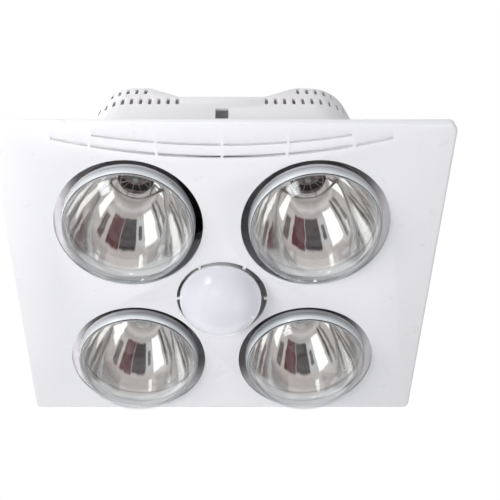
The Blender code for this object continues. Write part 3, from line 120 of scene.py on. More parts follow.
# Housing
HOUSING_WALL = 0.0025
RIM_HALF_WIDTH = 0.160
SHOULDER_HALF_WIDTH = 0.1375
DECK_HALF_WIDTH = 0.134
HOUSING_FRONT = 0.1545
HOUSING_REAR = 0.1535
WALL_DRAFT = 0.001
RIM_CORNER = 0.022
SHOULDER_CORNER = 0.045
FLARE_LOW = 0.020
FLARE_HIGH = 0.066
SHOULDER_HEIGHT = 0.104
DECK_HEIGHT = 0.142
DECK_ROUNDING = 0.006
FLANGE_BOX = (-0.188, 0.188, -0.180, 0.146)
FLANGE_CORNER = 0.006
VALLEY_HEIGHT = 0.118
VALLEY_FLOOR_HALF_WIDTH = 0.042
VALLEY_TOP_HALF_WIDTH = 0.078
VALLEY_EDGE = 0.1025
VALLEY_LIP = 0.003
VALLEY_CORNER = 0.008
VENT_WIDTH = 0.0033
VENT_PITCH = 0.0091
LOWER_VENTS = (12, 0.0445, 0.013, 0.1058)
UPPER_VENTS = (5, 0.0775, 0.011, 0.1290)
WINDOW = (-0.0063, 0.0063, 0.0678, 0.0895)
INLET_RADIUS = 0.046
INLET_LIP = 0.0035
DECK_HOLE_RADIUS = 0.0488
FIXING_RADIUS = 0.0026
FIXING_HOLES = [(x, y) for x in (-0.174, 0.174) for y in (-0.070, 0.070)]

# Fan, motor and duct
FAN = (-0.053, -0.008)
FAN_X, FAN_Y = FAN
FAN_PLACE = (FAN_X, FAN_Y, 0.0)
SCROLL_WALL = 0.0025
SCROLL_HEIGHT = 0.052
SCROLL_Z = DECK_HEIGHT + GAP
SCROLL_FLOOR_Z = SCROLL_Z + SCROLL_WALL
SCROLL_TOP_Z = SCROLL_FLOOR_Z + SCROLL_HEIGHT
SCROLL_BEAD = 0.0008
SCROLL_START_RADIUS = 0.069
SCROLL_END_RADIUS = 0.092
SCROLL_TONGUE = math.radians(70)
SCROLL_GROWTH = math.log(SCROLL_END_RADIUS / SCROLL_START_RADIUS) / (2 * math.pi - SCROLL_TONGUE)
OUTLET_WIDTH = 0.078
OUTLET_Y = 0.100
OUTLET_MIDDLE_Z = (SCROLL_FLOOR_Z + SCROLL_TOP_Z) / 2
COVER_SHEET = 0.0025
COVER_STEP = 0.0007
COVER_RIBS = 8
COVER_Z = SCROLL_TOP_Z + GAP
COVER_TOP_Z = COVER_Z + COVER_SHEET
IMPELLER_RADIUS = 0.065
IMPELLER_CLEARANCE = 0.0032
BLADE_INNER = 0.053
BLADE_HEIGHT = 0.041
BLADE_HALF_SHEET = 0.00055
BLADE_SETBACK = 0.0010
BLADES = 28
BLADE_SWEEP = math.radians(13)
SHROUD = 0.0015
IMPELLER_LOW = SCROLL_FLOOR_Z + IMPELLER_CLEARANCE
IMPELLER_HIGH = IMPELLER_LOW + BLADE_HEIGHT
HUB_CUP_RADIUS = 0.0435
HUB_CUP_DEPTH = 0.018
HUB_BOSS_RADIUS = 0.008
HUB_BOSS_LENGTH = 0.012
SHAFT_RADIUS = 0.004
BEARING_RADIUS = 0.009
BEARING_HEIGHT = 0.006
MOTOR_RADIUS = 0.038
MOTOR_WALL = 0.0018
MOTOR_FLANGE = 0.002
MOTOR_FLANGE_RADIUS = 0.046
MOTOR_FLANGE_Z = COVER_TOP_Z + GAP
MOTOR_SEAM_Z = MOTOR_FLANGE_Z + MOTOR_FLANGE
MOTOR_LOW = COVER_TOP_Z - 0.024
MOTOR_HIGH = COVER_TOP_Z + 0.023
STATOR_HEIGHT = 0.020
WINDING_INNER = 0.0225
WINDING_OUTER = 0.0305
WIRE_RADIUS = 0.00088
SPIGOT_RADIUS = 0.0485
SPIGOT_WALL = 0.0020
SPIGOT_FLANGE = 0.0025
SPIGOT_ROUND = 0.044
SPIGOT_Y = OUTLET_Y + GAP
SPIGOT_LOFT_Y = SPIGOT_Y + SPIGOT_FLANGE + 0.011
SPIGOT_ROUND_Y = SPIGOT_LOFT_Y + 0.032
SPIGOT_END_Y = SPIGOT_ROUND_Y + SPIGOT_ROUND
FLAP_PIN_RADIUS = 0.0015
FLAP_HALF_SHEET = 0.00075
FLAP_KNUCKLE_RADIUS = 0.0033
FLAP_PIN_Y = SPIGOT_Y + SPIGOT_FLANGE + 0.0055 + FLAP_PIN_RADIUS
FLAP_PIN_Z = SCROLL_TOP_Z - 0.0041

# Wiring
TERMINAL_Y = 0.031 - HOUSING_FRONT
TERMINAL_FLOOR = VALLEY_HEIGHT + GAP
TERMINAL_TOP = TERMINAL_FLOOR + 0.022
TERMINAL_BOX = (-0.037, 0.037, TERMINAL_Y - 0.018, TERMINAL_Y + 0.018)
TERMINAL_CORNER = 0.005
TERMINAL_WALL = 0.002
TERMINAL_ROUNDING = 0.003
GLAND_X = 0.018
GLAND_RADIUS = 0.0065
GLAND_BORE = 0.0040
GLAND_NUT_RADIUS = 0.0095
CAPACITOR_BOX = (0.077, 0.099, -0.039, -0.001)
CAPACITOR_HEIGHT = 0.030
CAPACITOR_ROUNDING = 0.002

LAMPS = {
    "front_left": (-LAMP_X, -LAMP_Y),
    "front_right": (LAMP_X, -LAMP_Y),
    "rear_left": (-LAMP_X, LAMP_Y),
    "rear_right": (LAMP_X, LAMP_Y),
}


# Outlines


def polar(radius, angle, centre=(0.0, 0.0)):
    return (centre[0] + radius * math.cos(angle), centre[1] + radius * math.sin(angle))


def turns_of(count, start=0.0):
    """Angles that share out a full turn."""
    return [2 * math.pi * (i + start) / count for i in range(count)]


def quarter(steps, first=0):
    """Angles of a quarter turn in equal steps."""
    return [math.pi / 2 * i / steps for i in range(first, steps + 1)]


def circle(radius, steps, centre=(0.0, 0.0)):
    return [polar(radius, turn, centre) for turn in turns_of(steps)]


def rounded_rectangle(west, east, south, north, radius, steps):
    centres = (
        (east - radius, south + radius, -90),
        (east - radius, north - radius, 0),
        (west + radius, north - radius, 90),
        (west + radius, south + radius, 180),
    )
    points = []
    for x, y, start in centres:
        turns = [math.radians(start + 90 * i / steps) for i in range(steps + 1)]
        points += [polar(radius, turn, (x, y)) for turn in turns]
    return points


def inset_rectangle(box, inset, radius, steps):
    west, east, south, north = box
    return rounded_rectangle(west + inset, east - inset, south + inset, north - inset, radius, steps)


def rounded(corners, radius, steps):
    """A closed outline with an arc of one radius at each corner."""
    points = []
    for i, corner in enumerate(corners):
        here = Vector(corner)
        back = (Vector(corners[i - 1]) - here).normalized()
        ahead = (Vector(corners[(i + 1) % len(corners)]) - here).normalized()
        half = back.angle(ahead) / 2
        reach = radius / math.tan(half)
        middle = here + (back + ahead).normalized() * radius / math.sin(half)
        start = here + back * reach - middle
        turn = (here + ahead * reach - middle).angle_signed(start)
        for k in range(steps + 1):
            points.append(tuple(middle + Matrix.Rotation(turn * k / steps, 2) @ start))
    return points


def rounded_profile(corners, radius=0.0008, steps=4, keep=()):
    """A closed profile of (radius, height) whose corners off the axis are rounded."""
    points = []
    for i, (r, z) in enumerate(corners):
        here = Vector((r, z))
        back = Vector(corners[i - 1]) - here
        ahead = Vector(corners[(i + 1) % len(corners)]) - here
        reach = min(radius, 0.45 * back.length, 0.45 * ahead.length)
        if r < 1e-6 or i in keep or reach < 1e-5:
            points.append((r, z))
            continue
        start, end = here + back.normalized() * reach, here + ahead.normalized() * reach
        for k in range(steps + 1):
            t = k / steps
            points.append(tuple(start * (1 - t) ** 2 + here * 2 * t * (1 - t) + end * t**2))
    return points


def at_height(outline, z):
    return [(x, y, z) for x, y in outline]


# Meshes and pieces


def mesh_of(bm, sharp=35):
    bmesh.ops.remove_doubles(bm, verts=bm.verts, dist=1e-6)
    bmesh.ops.recalc_face_normals(bm, faces=bm.faces)
    return finished(bm, sharp)


def finished(bm, sharp=32):
    mesh = bpy.data.meshes.new("mesh")
    bm.to_mesh(mesh)
    bm.free()
    return smooth(mesh, sharp)


def smooth(mesh, sharp=32):
    mesh.shade_smooth()
    mesh.set_sharp_from_angle(angle=math.radians(sharp))
    return mesh


def add_loft(bm, rings, ring_closes=False):
    made = [[bm.verts.new(point) for point in ring] for ring in rings]
    pairs = list(zip(made, made[1:]))
    if ring_closes:
        pairs.append((made[-1], made[0]))
    for low, high in pairs:
        for i in range(len(low)):
            j = (i + 1) % len(low)
            bm.faces.new((low[i], low[j], high[j], high[i]))
    if not ring_closes:
        bm.faces.new(reversed(made[0]))
        bm.faces.new(made[-1])


def add_tube(bm, points, radius, sides, closes=False):
    path = [Vector(p) for p in points]
    rings = []
    side = None
    for i, here in enumerate(path):
        ahead = path[(i + 1) % len(path)] if closes or i + 1 < len(path) else here
        back = path[i - 1] if closes or i else here
        along = (ahead - back).normalized()
        if side is None:
            side = along.orthogonal().normalized()
        side = (side - along * side.dot(along)).normalized()
        other = along.cross(side)
        rings.append([here + (side * math.cos(a) + other * math.sin(a)) * radius for a in turns_of(sides)])
    add_loft(bm, rings, closes)


def loft(rings, ring_closes=False):
    bm = bmesh.new()
    add_loft(bm, rings, ring_closes)
    return mesh_of(bm)


def prisms(outlines, low, high):
    bm = bmesh.new()
    for outline in outlines:
        add_loft(bm, [at_height(outline, low), at_height(outline, high)])
    return mesh_of(bm)


def rods(outline, reach):
    """An outline of (y, z) drawn out along X from -reach to reach."""
    return loft([[(x, y, z) for y, z in outline] for x in (-reach, reach)])


def boxes(*ranges):
    bm = bmesh.new()
    for x0, x1, y0, y1, z0, z1 in ranges:
        outline = [(x0, y0), (x1, y0), (x1, y1), (x0, y1)]
        add_loft(bm, [at_height(outline, z0), at_height(outline, z1)])
    return mesh_of(bm)


def turned(profile, steps, centre=(0.0, 0.0), sharp=35):
    """A profile of (radius, height) spun round the upright axis, then moved to its centre."""
    bm = bmesh.new()
    verts = [bm.verts.new((r, 0.0, z)) for r, z in profile]
    pairs = zip(verts, verts[1:] + verts[:1])
    edges = [bm.edges.new(pair) for pair in pairs if any(v.co.x > 1e-7 for v in pair)]
    bmesh.ops.spin(
        bm, geom=verts + edges, cent=(0, 0, 0), axis=(0, 0, 1), angle=2 * math.pi, steps=steps
    )
    mesh = mesh_of(bm, sharp)
    mesh.transform(Matrix.Translation((*centre, 0.0)))
    return mesh


def put(name, data, location=(0.0, 0.0, 0.0)):
    obj = bpy.data.objects.new(name, data)
    bpy.context.scene.collection.objects.link(obj)
    obj.location = location
    return obj


def piece(name, mesh, material, replaced, slot, location=(0.0, 0.0, 0.0), body="unit"):
    """A piece that rides on a body, in place of a node of the CAD unless it is only added."""
    mesh.name = name
    if material:
        mesh.materials.clear()
        mesh.materials.append(material)
    obj = put(name, mesh, location)
    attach(obj, body)
    if replaced:
        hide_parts(replaced)


def carved(mesh, *changes, bevel=0.0):
    """The mesh after each change, "+" or "-" with a loose mesh, and with bevelled edges."""
    obj = put("carved", mesh)
    helpers = []
    for sign, other in changes:
        helpers.append(put("helper", other))
        modifier = obj.modifiers.new("change", "BOOLEAN")
        modifier.operation = {"+": "UNION", "-": "DIFFERENCE"}[sign]
        modifier.object = helpers[-1]
        modifier.solver = "EXACT"
    if bevel:
        modifier = obj.modifiers.new("edges", "BEVEL")
        modifier.width = bevel
        modifier.segments = 2
        modifier.limit_method = "ANGLE"
        modifier.angle_limit = math.radians(40)
        modifier.harden_normals = False
    graph = bpy.context.evaluated_depsgraph_get()
    done = bpy.data.meshes.new_from_object(obj.evaluated_get(graph))
    for used in (obj, *helpers):
        bpy.data.objects.remove(used, do_unlink=True)
    done.materials.clear()
    return smooth(done)


# Materials


def node(tree, kind, sockets, **settings):
    """A new node. Each socket gets a link where its value is another node's socket."""
    made = tree.nodes.new("ShaderNode" + kind)
    for name, value in settings.items():
        setattr(made, name, value)
    feed(tree, made, sockets)
    return made


def feed(tree, made, sockets):
    for name, value in sockets.items():
        if isinstance(value, bpy.types.NodeSocket):
            tree.links.new(value, made.inputs[name])
        else:
            made.inputs[name].default_value = value


def nodes_of(name):
    made = bpy.data.materials.new(name)
    made.use_nodes = True
    return made, made.node_tree, made.node_tree.nodes["Principled BSDF"]


def coordinates(tree, kind="Object"):
    return node(tree, "TexCoord", {}).outputs[kind]


def axes_of(tree, kind="Object"):
    return node(tree, "SeparateXYZ", {"Vector": coordinates(tree, kind)}).outputs


def noise(tree, scale, detail=3.0, stretch=(1, 1, 1)):
    place = node(tree, "Mapping", {"Scale": stretch, "Vector": coordinates(tree)})
    texture = {"Scale": scale, "Detail": detail, "Vector": place.outputs["Vector"]}
    return node(tree, "TexNoise", texture).outputs["Fac"]


def ramp(tree, value, *stops):
    """Colours between stops of (position, colour)."""
    made = node(tree, "ValToRGB", {"Fac": value})
    elements = made.color_ramp.elements
    while len(elements) < len(stops):
        elements.new(0.5)
    for element, (position, colour) in zip(elements, stops):
        element.position = position
        element.color = (*colour, 1.0)
    return made.outputs["Color"]


def spread(tree, value, low, high, start=0.3, end=0.7, **settings):
    ends = {"From Min": start, "From Max": end, "To Min": low, "To Max": high}
    return node(tree, "MapRange", {"Value": value, **ends}, **settings).outputs["Result"]


def maths(tree, operation, *values):
    return node(tree, "Math", dict(enumerate(values)), operation=operation).outputs["Value"]


def bump(tree, height, strength, distance):
    sockets = {"Height": height, "Strength": strength, "Distance": distance}
    return node(tree, "Bump", sockets).outputs["Normal"]


def mixed(tree, factor, first, second):
    return node(tree, "MixShader", {0: factor, 1: first.outputs[0], 2: second.outputs[0]})


def surface(name, dark, light, rough, grain, depth, metallic=0.0, blotch=9.0, stretch=(1, 1, 1)):
    """Colour drifts between dark and light, roughness between its two values, over a fine grain."""
    made, tree, shader = nodes_of(name)
    drift = noise(tree, blotch, 4.0, stretch)
    looks = {
        "Base Color": ramp(tree, drift, (0.35, dark), (0.65, light)),
        "Roughness": spread(tree, noise(tree, blotch * 6, 3.0, stretch), *rough),
        "Normal": bump(tree, noise(tree, grain, 2.0, stretch), 0.35, depth),
        "Metallic": metallic,
    }
    feed(tree, shader, looks)
    return made


def thin_plastic(material, tint, low_share, high_share, low, high):
    """Part of the light on one side comes out of the other, less so higher up."""
    tree = material.node_tree
    glow = node(tree, "BsdfTranslucent", {"Color": (*tint, 1.0)})
    share = spread(tree, axes_of(tree)["Z"], low_share, high_share, low, high)
    whole = mixed(tree, share, tree.nodes["Principled BSDF"], glow)
    feed(tree, tree.nodes["Material Output"], {"Surface": whole.outputs["Shader"]})


def opal_material():
    """Opal plastic with a weak painted glow that evens out its shading, standing in for light let through
    the plastic.
    """
    made, tree, shader = nodes_of("opal")
    drift = noise(tree, 14.0, 4.0)
    looks = {
        "Base Color": ramp(tree, drift, (0.3, (0.455, 0.455, 0.485)), (0.7, (0.475, 0.475, 0.505))),
        # Painted glow: emission that flattens the dome's shading.
        "Emission Color": ramp(tree, drift, (0.3, (0.90, 0.915, 1.0)), (0.7, (0.92, 0.935, 1.0))),
        "Emission Strength": 0.33,
        "Roughness": spread(tree, noise(tree, 90.0), 0.05, 0.08),
        "Subsurface Weight": 0.25,
        "Subsurface Radius": (0.006, 0.006, 0.007),
        "Normal": bump(tree, noise(tree, 1600.0), 0.3, 0.000002),
    }
    feed(tree, shader, looks)
    return made


def silver_material():
    """Mirror coating inside the lamp's bowl, very slightly wavy, with thin rings near its edge."""
    made, tree, shader = nodes_of("silver_coating")
    waves = maths(tree, "MULTIPLY", noise(tree, 40.0, 2.0), 0.0022)
    height = maths(tree, "ADD", axes_of(tree)["Z"], waves)
    high = spread(tree, height, 0.0, 1.0, SILVER_EDGE_Z, SILVER_EDGE_Z + 0.050)
    stops = (
        (0.00, (0.50, 0.50, 0.51)),
        (0.04, (0.93, 0.93, 0.94)),
        (0.16, (0.93, 0.93, 0.94)),
        (0.19, (0.42, 0.41, 0.42)),
        (0.23, (0.94, 0.94, 0.94)),
        (0.37, (0.92, 0.92, 0.92)),
        (0.40, (0.50, 0.49, 0.49)),
        (0.44, (0.95, 0.94, 0.93)),
        (0.60, (0.94, 0.93, 0.92)),
        (1.00, (0.95, 0.94, 0.93)),
    )
    looks = {
        "Base Color": ramp(tree, high, *stops),
        "Metallic": spread(tree, high, 0.25, 1.0, 0.10, 0.75),
        "Roughness": spread(tree, noise(tree, 60.0), 0.015, 0.05),
        "Normal": bump(tree, noise(tree, 42.0, 2.0), 0.3, 0.0006),
    }
    feed(tree, shader, looks)
    return made


def rim_material():
    """The coating's edge seen through the glass from outside. Round its middle, a cool-tinted band and a
    darker band nearer the widest ring are painted reflections.
    """
    made, tree, shader = nodes_of("silver_rim")
    high = spread(tree, axes_of(tree)["Z"], 0.0, 1.0, SILVER_EDGE_Z, LAMP_WIDEST_Z)
    # Stops 0.5 and 0.75 are painted reflections: a cool-tinted band, then a darker band.
    stops = (
        (0.0, (0.04, 0.04, 0.04)),
        (0.07, (0.05, 0.05, 0.05)),
        (0.10, (0.86, 0.88, 0.90)),
        (0.22, (0.90, 0.92, 0.94)),
        (0.5, (0.72, 0.78, 0.80)),
        (0.75, (0.50, 0.52, 0.55)),
        (1.0, (0.90, 0.90, 0.92)),
    )
    looks = {
        "Base Color": ramp(tree, high, *stops),
        "Metallic": 0.35,
        "Roughness": spread(tree, noise(tree, 50.0), 0.16, 0.24),
        "Normal": bump(tree, noise(tree, 30.0, 1.5), 0.2, 0.0004),
    }
    feed(tree, shader, looks)
    return made


def glass_material():
    """Thin clear glass: nearly see-through, with a reflection that grows towards its edge."""
    made, tree, shader = nodes_of("clear_glass")
    tree.nodes.remove(shader)
    tint = ramp(tree, noise(tree, 18.0), (0.3, (0.965, 0.975, 0.975)), (0.7, (0.985, 0.99, 0.99)))
    through = node(tree, "BsdfTransparent", {"Color": tint})
    looks = {
        "Color": (0.98, 0.99, 1.0, 1.0),
        "Roughness": spread(tree, noise(tree, 30.0), 0.015, 0.04),
        "Normal": bump(tree, noise(tree, 25.0, 1.0), 0.2, 0.0004),
    }
    facing = node(tree, "LayerWeight", {"Blend": 0.22}).outputs["Facing"]
    share = spread(tree, facing, 0.022, 0.42, 0.0, 1.0)
    whole = mixed(tree, share, through, node(tree, "BsdfGlossy", looks))
    feed(tree, tree.nodes["Material Output"], {"Surface": whole.outputs["Shader"]})
    return made


fascia_white = surface(
    "fascia_white", (0.870, 0.868, 0.888), (0.885, 0.883, 0.902), (0.27, 0.33), 2600, 0.000003
)
housing_white = surface(
    "housing_white", (0.83, 0.815, 0.83), (0.86, 0.845, 0.86), (0.42, 0.52), 1400, 0.00001
)
thin_plastic(housing_white, (0.93, 0.92, 0.93), 0.62, 0.12, 0.02, 0.055)
light_white = surface(
    "light_white", (0.78, 0.78, 0.79), (0.82, 0.82, 0.83), (0.38, 0.48), 1200, 0.00004
)
zinc = surface("zinc_sheet", (0.50, 0.51, 0.53), (0.66, 0.67, 0.69), (0.28, 0.44), 600, 0.00004, 1.0, 30)
grey = surface("fan_grey", (0.24, 0.25, 0.27), (0.30, 0.31, 0.33), (0.42, 0.55), 1500, 0.00006)
black = surface("black_plastic", (0.030, 0.030, 0.033), (0.048, 0.048, 0.052), (0.40, 0.55), 1500, 0.00006)
laminations = surface(
    "laminations", (0.14, 0.14, 0.15), (0.24, 0.24, 0.26), (0.40, 0.6), 700, 0.0002, 1.0, 20, (0.1, 0.1, 8)
)
copper = surface(
    "copper_wire", (0.40, 0.13, 0.04), (0.66, 0.30, 0.12), (0.25, 0.4), 500, 0.0004, 1.0, 30, (0.2, 0.2, 4)
)
bright = surface("bright_steel", (0.62, 0.62, 0.64), (0.74, 0.74, 0.76), (0.16, 0.28), 900, 0.00002, 1.0)
plated = surface("plated_cap", (0.55, 0.51, 0.44), (0.70, 0.66, 0.58), (0.25, 0.4), 500, 0.0001, 1.0, 40)
ceramic = surface("glazed_ceramic", (0.74, 0.71, 0.65), (0.82, 0.80, 0.75), (0.12, 0.25), 300, 0.0001)
# Painted shade: the bowl's outside above the rim is near-black, standing in for the dark gap seen round each
# lamp.
bowl_back_painted_shade = surface(
    "lamp_bowl_back_painted_shade", (0.045, 0.045, 0.050), (0.090, 0.088, 0.094), (0.30, 0.42), 500, 0.0001, 0.7
)
# Near-black band at the neck's end, inside and out.
dark_neck = surface("dark_neck_band", (0.012, 0.008, 0.007), (0.035, 0.024, 0.020), (0.25, 0.4), 500, 0.0001)
mica = surface("mica_shield", (0.20, 0.14, 0.13), (0.46, 0.38, 0.37), (0.3, 0.5), 700, 0.0003, 0.0, 160)
coil = surface("coil_wire", (0.42, 0.41, 0.40), (0.62, 0.61, 0.60), (0.25, 0.4), 900, 0.0001, 1.0, 200)
stem_glass = surface("stem_glass", (0.30, 0.31, 0.30), (0.52, 0.53, 0.52), (0.08, 0.2), 400, 0.0001, 0.0, 60)
silver_rim = rim_material()
opal = opal_material()
silver = silver_material()
glass = glass_material()


# Fascia


def arc_y(x, place, radius):
    return -place - (radius - math.sqrt(radius**2 - x**2))


def fascia_block(inset, top, face, rounding):
    rings = [(inset, top)]
    for turn in quarter(6):
        rings.append((inset + rounding * (1 - math.cos(turn)), face + rounding * (1 - math.sin(turn))))
    return loft(
        [at_height(inset_rectangle(FASCIA_BOX, i, FASCIA_CORNER - i * 0.8, 10), z) for i, z in rings]
    )


def band_cutter(lift):
    """Takes away what lies below the sloping band along the near edge."""
    near, low = -FASCIA_NEAR - 0.020, FACE_Z - 0.010
    rings = []
    for i in range(BAND_STEPS + 1):
        x = (FASCIA_HALF_WIDTH + 0.002) * (2 * i / BAND_STEPS - 1)
        start = arc_y(x, BAND_START, BAND_RADIUS)
        far = start + 0.012
        top, end = (FACE_Z + lift + BAND_SLOPE * (start - y) for y in (far, near))
        rings.append([(x, far, low), (x, far, top), (x, near, end), (x, near, low)])
    return loft(rings)


def slot_outlines(place, radius, width, stops):
    outlines = []
    steps = 12
    for inner, outer in zip(stops, stops[1:]):
        start = inner + SLOT_RIB / 2
        end = outer - (SLOT_RIB / 2 if outer != stops[-1] else 0.0)
        along = [start + (end - start) * i / steps for i in range(steps + 1)]
        for side in (-1, 1):
            far = [(side * x, arc_y(x, place, radius) + width / 2) for x in along]
            near = [(side * x, arc_y(x, place, radius) - width / 2) for x in reversed(along)]
            outlines.append((far + near)[::side])
    return outlines


def light_ring_outline():
    """The light's hole with its small tabs."""
    points = []
    half = TAB_WIDTH / 2 / LIGHT_HOLE_RADIUS
    between = 2 * math.pi / RING_TABS
    steps = 20
    for tab in range(RING_TABS):
        middle = tab * between
        points += [(LIGHT_HOLE_RADIUS - TAB_LENGTH, angle) for angle in (middle - half, middle + half)]
        for i in range(steps + 1):
            points.append((LIGHT_HOLE_RADIUS, middle + half + (between - 2 * half) * i / steps))
    return [polar(r, angle, (0.0, LIGHT_Y)) for r, angle in points]


def make_fascia():
    core = fascia_block(FASCIA_WALL, PAST, FACE_Z + FASCIA_WALL, 0.001)
    inside = carved(core, ("-", band_cutter(FASCIA_WALL)))
    holes = [circle(LAMP_HOLE_RADIUS, 128, place) for place in LAMPS.values()]
    holes += [light_ring_outline()] + slot_outlines(*LOWER_SLOT) + slot_outlines(*UPPER_SLOT)
    openings = prisms(holes, FACE_Z - PAST, FACE_Z + FASCIA_WALL + PAST)
    block = fascia_block(0.0, 0.0, FACE_Z, FASCIA_EDGE)
    panel = carved(block, ("-", band_cutter(0.0)), ("-", inside), ("-", openings), bevel=0.0005)
    piece("fascia_panel", panel, fascia_white, "fascia", "fascia_white")


# Housing


def housing_rings(inset, bottom, rounding):
    levels = [
        (bottom, RIM_HALF_WIDTH, 0.0, RIM_CORNER),
        (FLARE_LOW, RIM_HALF_WIDTH, 0.0, RIM_CORNER),
        (FLARE_HIGH, SHOULDER_HALF_WIDTH + WALL_DRAFT, WALL_DRAFT / 2, SHOULDER_CORNER),
        (SHOULDER_HEIGHT, SHOULDER_HALF_WIDTH, WALL_DRAFT / 2, SHOULDER_CORNER),
    ]
    for turn in quarter(5):
        inner = rounding * (1 - math.cos(turn))
        z = DECK_HEIGHT - inset - rounding * (1 - math.sin(turn))
        levels.append((z, DECK_HALF_WIDTH - inner, WALL_DRAFT + inner, SHOULDER_CORNER - inner))
    rings = []
    for z, half, draft, corner in levels:
        box = (-half, half, -HOUSING_FRONT + draft, HOUSING_REAR - draft)
        rings.append(at_height(inset_rectangle(box, inset, corner - inset, 10), z))
    return rings


def valley_cutters(grow):
    """The troughs in the middle of the deck's front and rear edges."""
    angle = math.atan2(DECK_HEIGHT - VALLEY_HEIGHT, VALLEY_TOP_HALF_WIDTH - VALLEY_FLOOR_HALF_WIDTH)
    top = DECK_HEIGHT + 0.010
    bm = bmesh.new()
    for side, wall in ((-1, HOUSING_FRONT), (1, HOUSING_REAR)):
        sections = ((VALLEY_EDGE - grow, 0.0), (wall - 2 * VALLEY_LIP, 0.0), (wall + VALLEY_LIP, VALLEY_LIP))
        rings = []
        for y, lip in sections:
            drop = grow + (lip if grow == 0.0 else 0.0)
            floor = VALLEY_HEIGHT - drop
            low = VALLEY_FLOOR_HALF_WIDTH + drop * math.tan(angle / 2)
            high = low + (top - floor) / math.tan(angle)
            corners = [(-high, top), (-low, floor), (low, floor), (high, top)]
            rings.append([(x, side * y, z) for x, z in rounded(corners, VALLEY_CORNER, 6)])
        add_loft(bm, rings)
    return mesh_of(bm)


def vent_outline(along, rear):
    """A vent's cutter, square to the wall, also where the wall turns round its corner."""
    wall = HOUSING_REAR if rear else HOUSING_FRONT
    straight = SHOULDER_HALF_WIDTH - SHOULDER_CORNER
    half, deep = VENT_WIDTH / 2, 3 * HOUSING_WALL
    turn = max(0.0, (abs(along) - straight) / SHOULDER_CORNER)
    x = min(abs(along), straight)
    points = []
    for across, out in ((-half, -deep), (half, -deep), (half, deep), (-half, deep)):
        r = SHOULDER_CORNER + out
        px = x + r * math.sin(turn) + across * math.cos(turn)
        py = wall - SHOULDER_CORNER + r * math.cos(turn) - across * math.sin(turn)
        points.append((math.copysign(px, along), py if rear else -py))
    return points


def vent_mesh():
    bm = bmesh.new()
    for count, start, height, middle in (LOWER_VENTS, UPPER_VENTS):
        for i, side, rear in itertools.product(range(count), (-1, 1), (False, True)):
            outline = vent_outline(side * (start + i * VENT_PITCH), rear)
            add_loft(bm, [at_height(outline, middle + end * height / 2) for end in (-1, 1)])
    return mesh_of(bm)


def make_housing():
    core = loft(housing_rings(HOUSING_WALL, -HOUSING_WALL - PAST, DECK_ROUNDING - HOUSING_WALL))
    inside = carved(core, ("-", valley_cutters(HOUSING_WALL)))
    flange = rounded_rectangle(*FLANGE_BOX, FLANGE_CORNER, 6)
    inlet = circle(DECK_HOLE_RADIUS, 96, FAN)
    fixings = [circle(FIXING_RADIUS, 24, place) for place in FIXING_HOLES]
    west, east, low, high = WINDOW
    shell = carved(
        loft(housing_rings(0.0, -HOUSING_WALL, DECK_ROUNDING)),
        ("+", prisms([flange], -HOUSING_WALL, 0.0)),
        ("-", valley_cutters(0.0)),
        ("-", inside),
        ("-", prisms([inlet], DECK_HEIGHT - 0.01, DECK_HEIGHT + PAST)),
        ("-", boxes((west, east, -HOUSING_FRONT - PAST, -HOUSING_FRONT + 2 * PAST, low, high))),
        ("-", prisms(fixings, -HOUSING_WALL - PAST, PAST)),
        ("-", vent_mesh()),
        bevel=0.0004,
    )
    piece("housing_shell", shell, housing_white, "housing", "housing_white")


# Lamps and light


def dome_points(radius, depth, middle, steps, low=None, high=None):
    """(radius, height) up a dome: from its lowest point or low, to its widest ring or high."""
    first = 0.0 if low is None else math.acos((middle - low) / depth)
    last = math.pi / 2 if high is None else math.acos((middle - high) / depth)
    turns = [first + (last - first) * i / steps for i in range(steps + 1)]
    return [(radius * math.sin(a), middle - depth * math.cos(a)) for a in turns]


def bowl_wall(inset):
    """One wall of the silvered part: the dome's edge, nearly a paraboloid, and the neck to its end."""
    radius, neck = LAMP_RADIUS - inset, NECK_RADIUS - inset
    wall = dome_points(radius, LAMP_DOME - inset, LAMP_WIDEST_Z, 8, low=SILVER_EDGE_Z)
    for i in range(1, LAMP_BOWL_STEPS + 1):
        fall = (i / LAMP_BOWL_STEPS) ** LAMP_BOWL_POWER
        z = LAMP_WIDEST_Z + LAMP_BOWL * i / LAMP_BOWL_STEPS
        wall.append((math.sqrt(radius**2 + (neck**2 - radius**2) * fall), z))
    collar = NECK_END_Z - HOLDER_SKIRT
    wall += [(neck, collar - NECK_SHOULDER - NECK_DARK), (neck, collar - NECK_SHOULDER)]
    return wall + [(CAP_RADIUS - inset, collar), (CAP_RADIUS - inset, NECK_END_Z)]


def bowl_mesh():
    mesh = turned(bowl_wall(0.0) + bowl_wall(LAMP_GLASS)[::-1], 96, sharp=50)
    for material in (silver, silver_rim, dark_neck, bowl_back_painted_shade):
        mesh.materials.append(material)
    for face in mesh.polygons:
        middle = face.center
        if middle.z > DARK_NECK_Z:
            face.material_index = 2
        elif face.normal.x * middle.x + face.normal.y * middle.y > 0:
            face.material_index = 1 if middle.z < LAMP_WIDEST_Z + RIM_ABOVE_WIDEST else 3
    return mesh


def stem_mesh():
    low, high, end = STEM_LOW_Z, STEM_HIGH_Z, CAP_RADIUS - LAMP_GLASS - GAP
    stem = [(0.0, low), (0.0022, low + 0.0002), (0.0034, low + 0.0014), (0.0034, low + 0.0030)]
    stem += [(0.0022, low + 0.0046), (0.0030, low + 0.0080), (STEM_RADIUS, low + 0.0110)]
    stem += [(STEM_RADIUS, high - 0.0045), (0.0075, high - 0.0020), (end, high - 0.0006)]
    return turned(stem + [(end, high), (0.0, high)], 48, sharp=50)


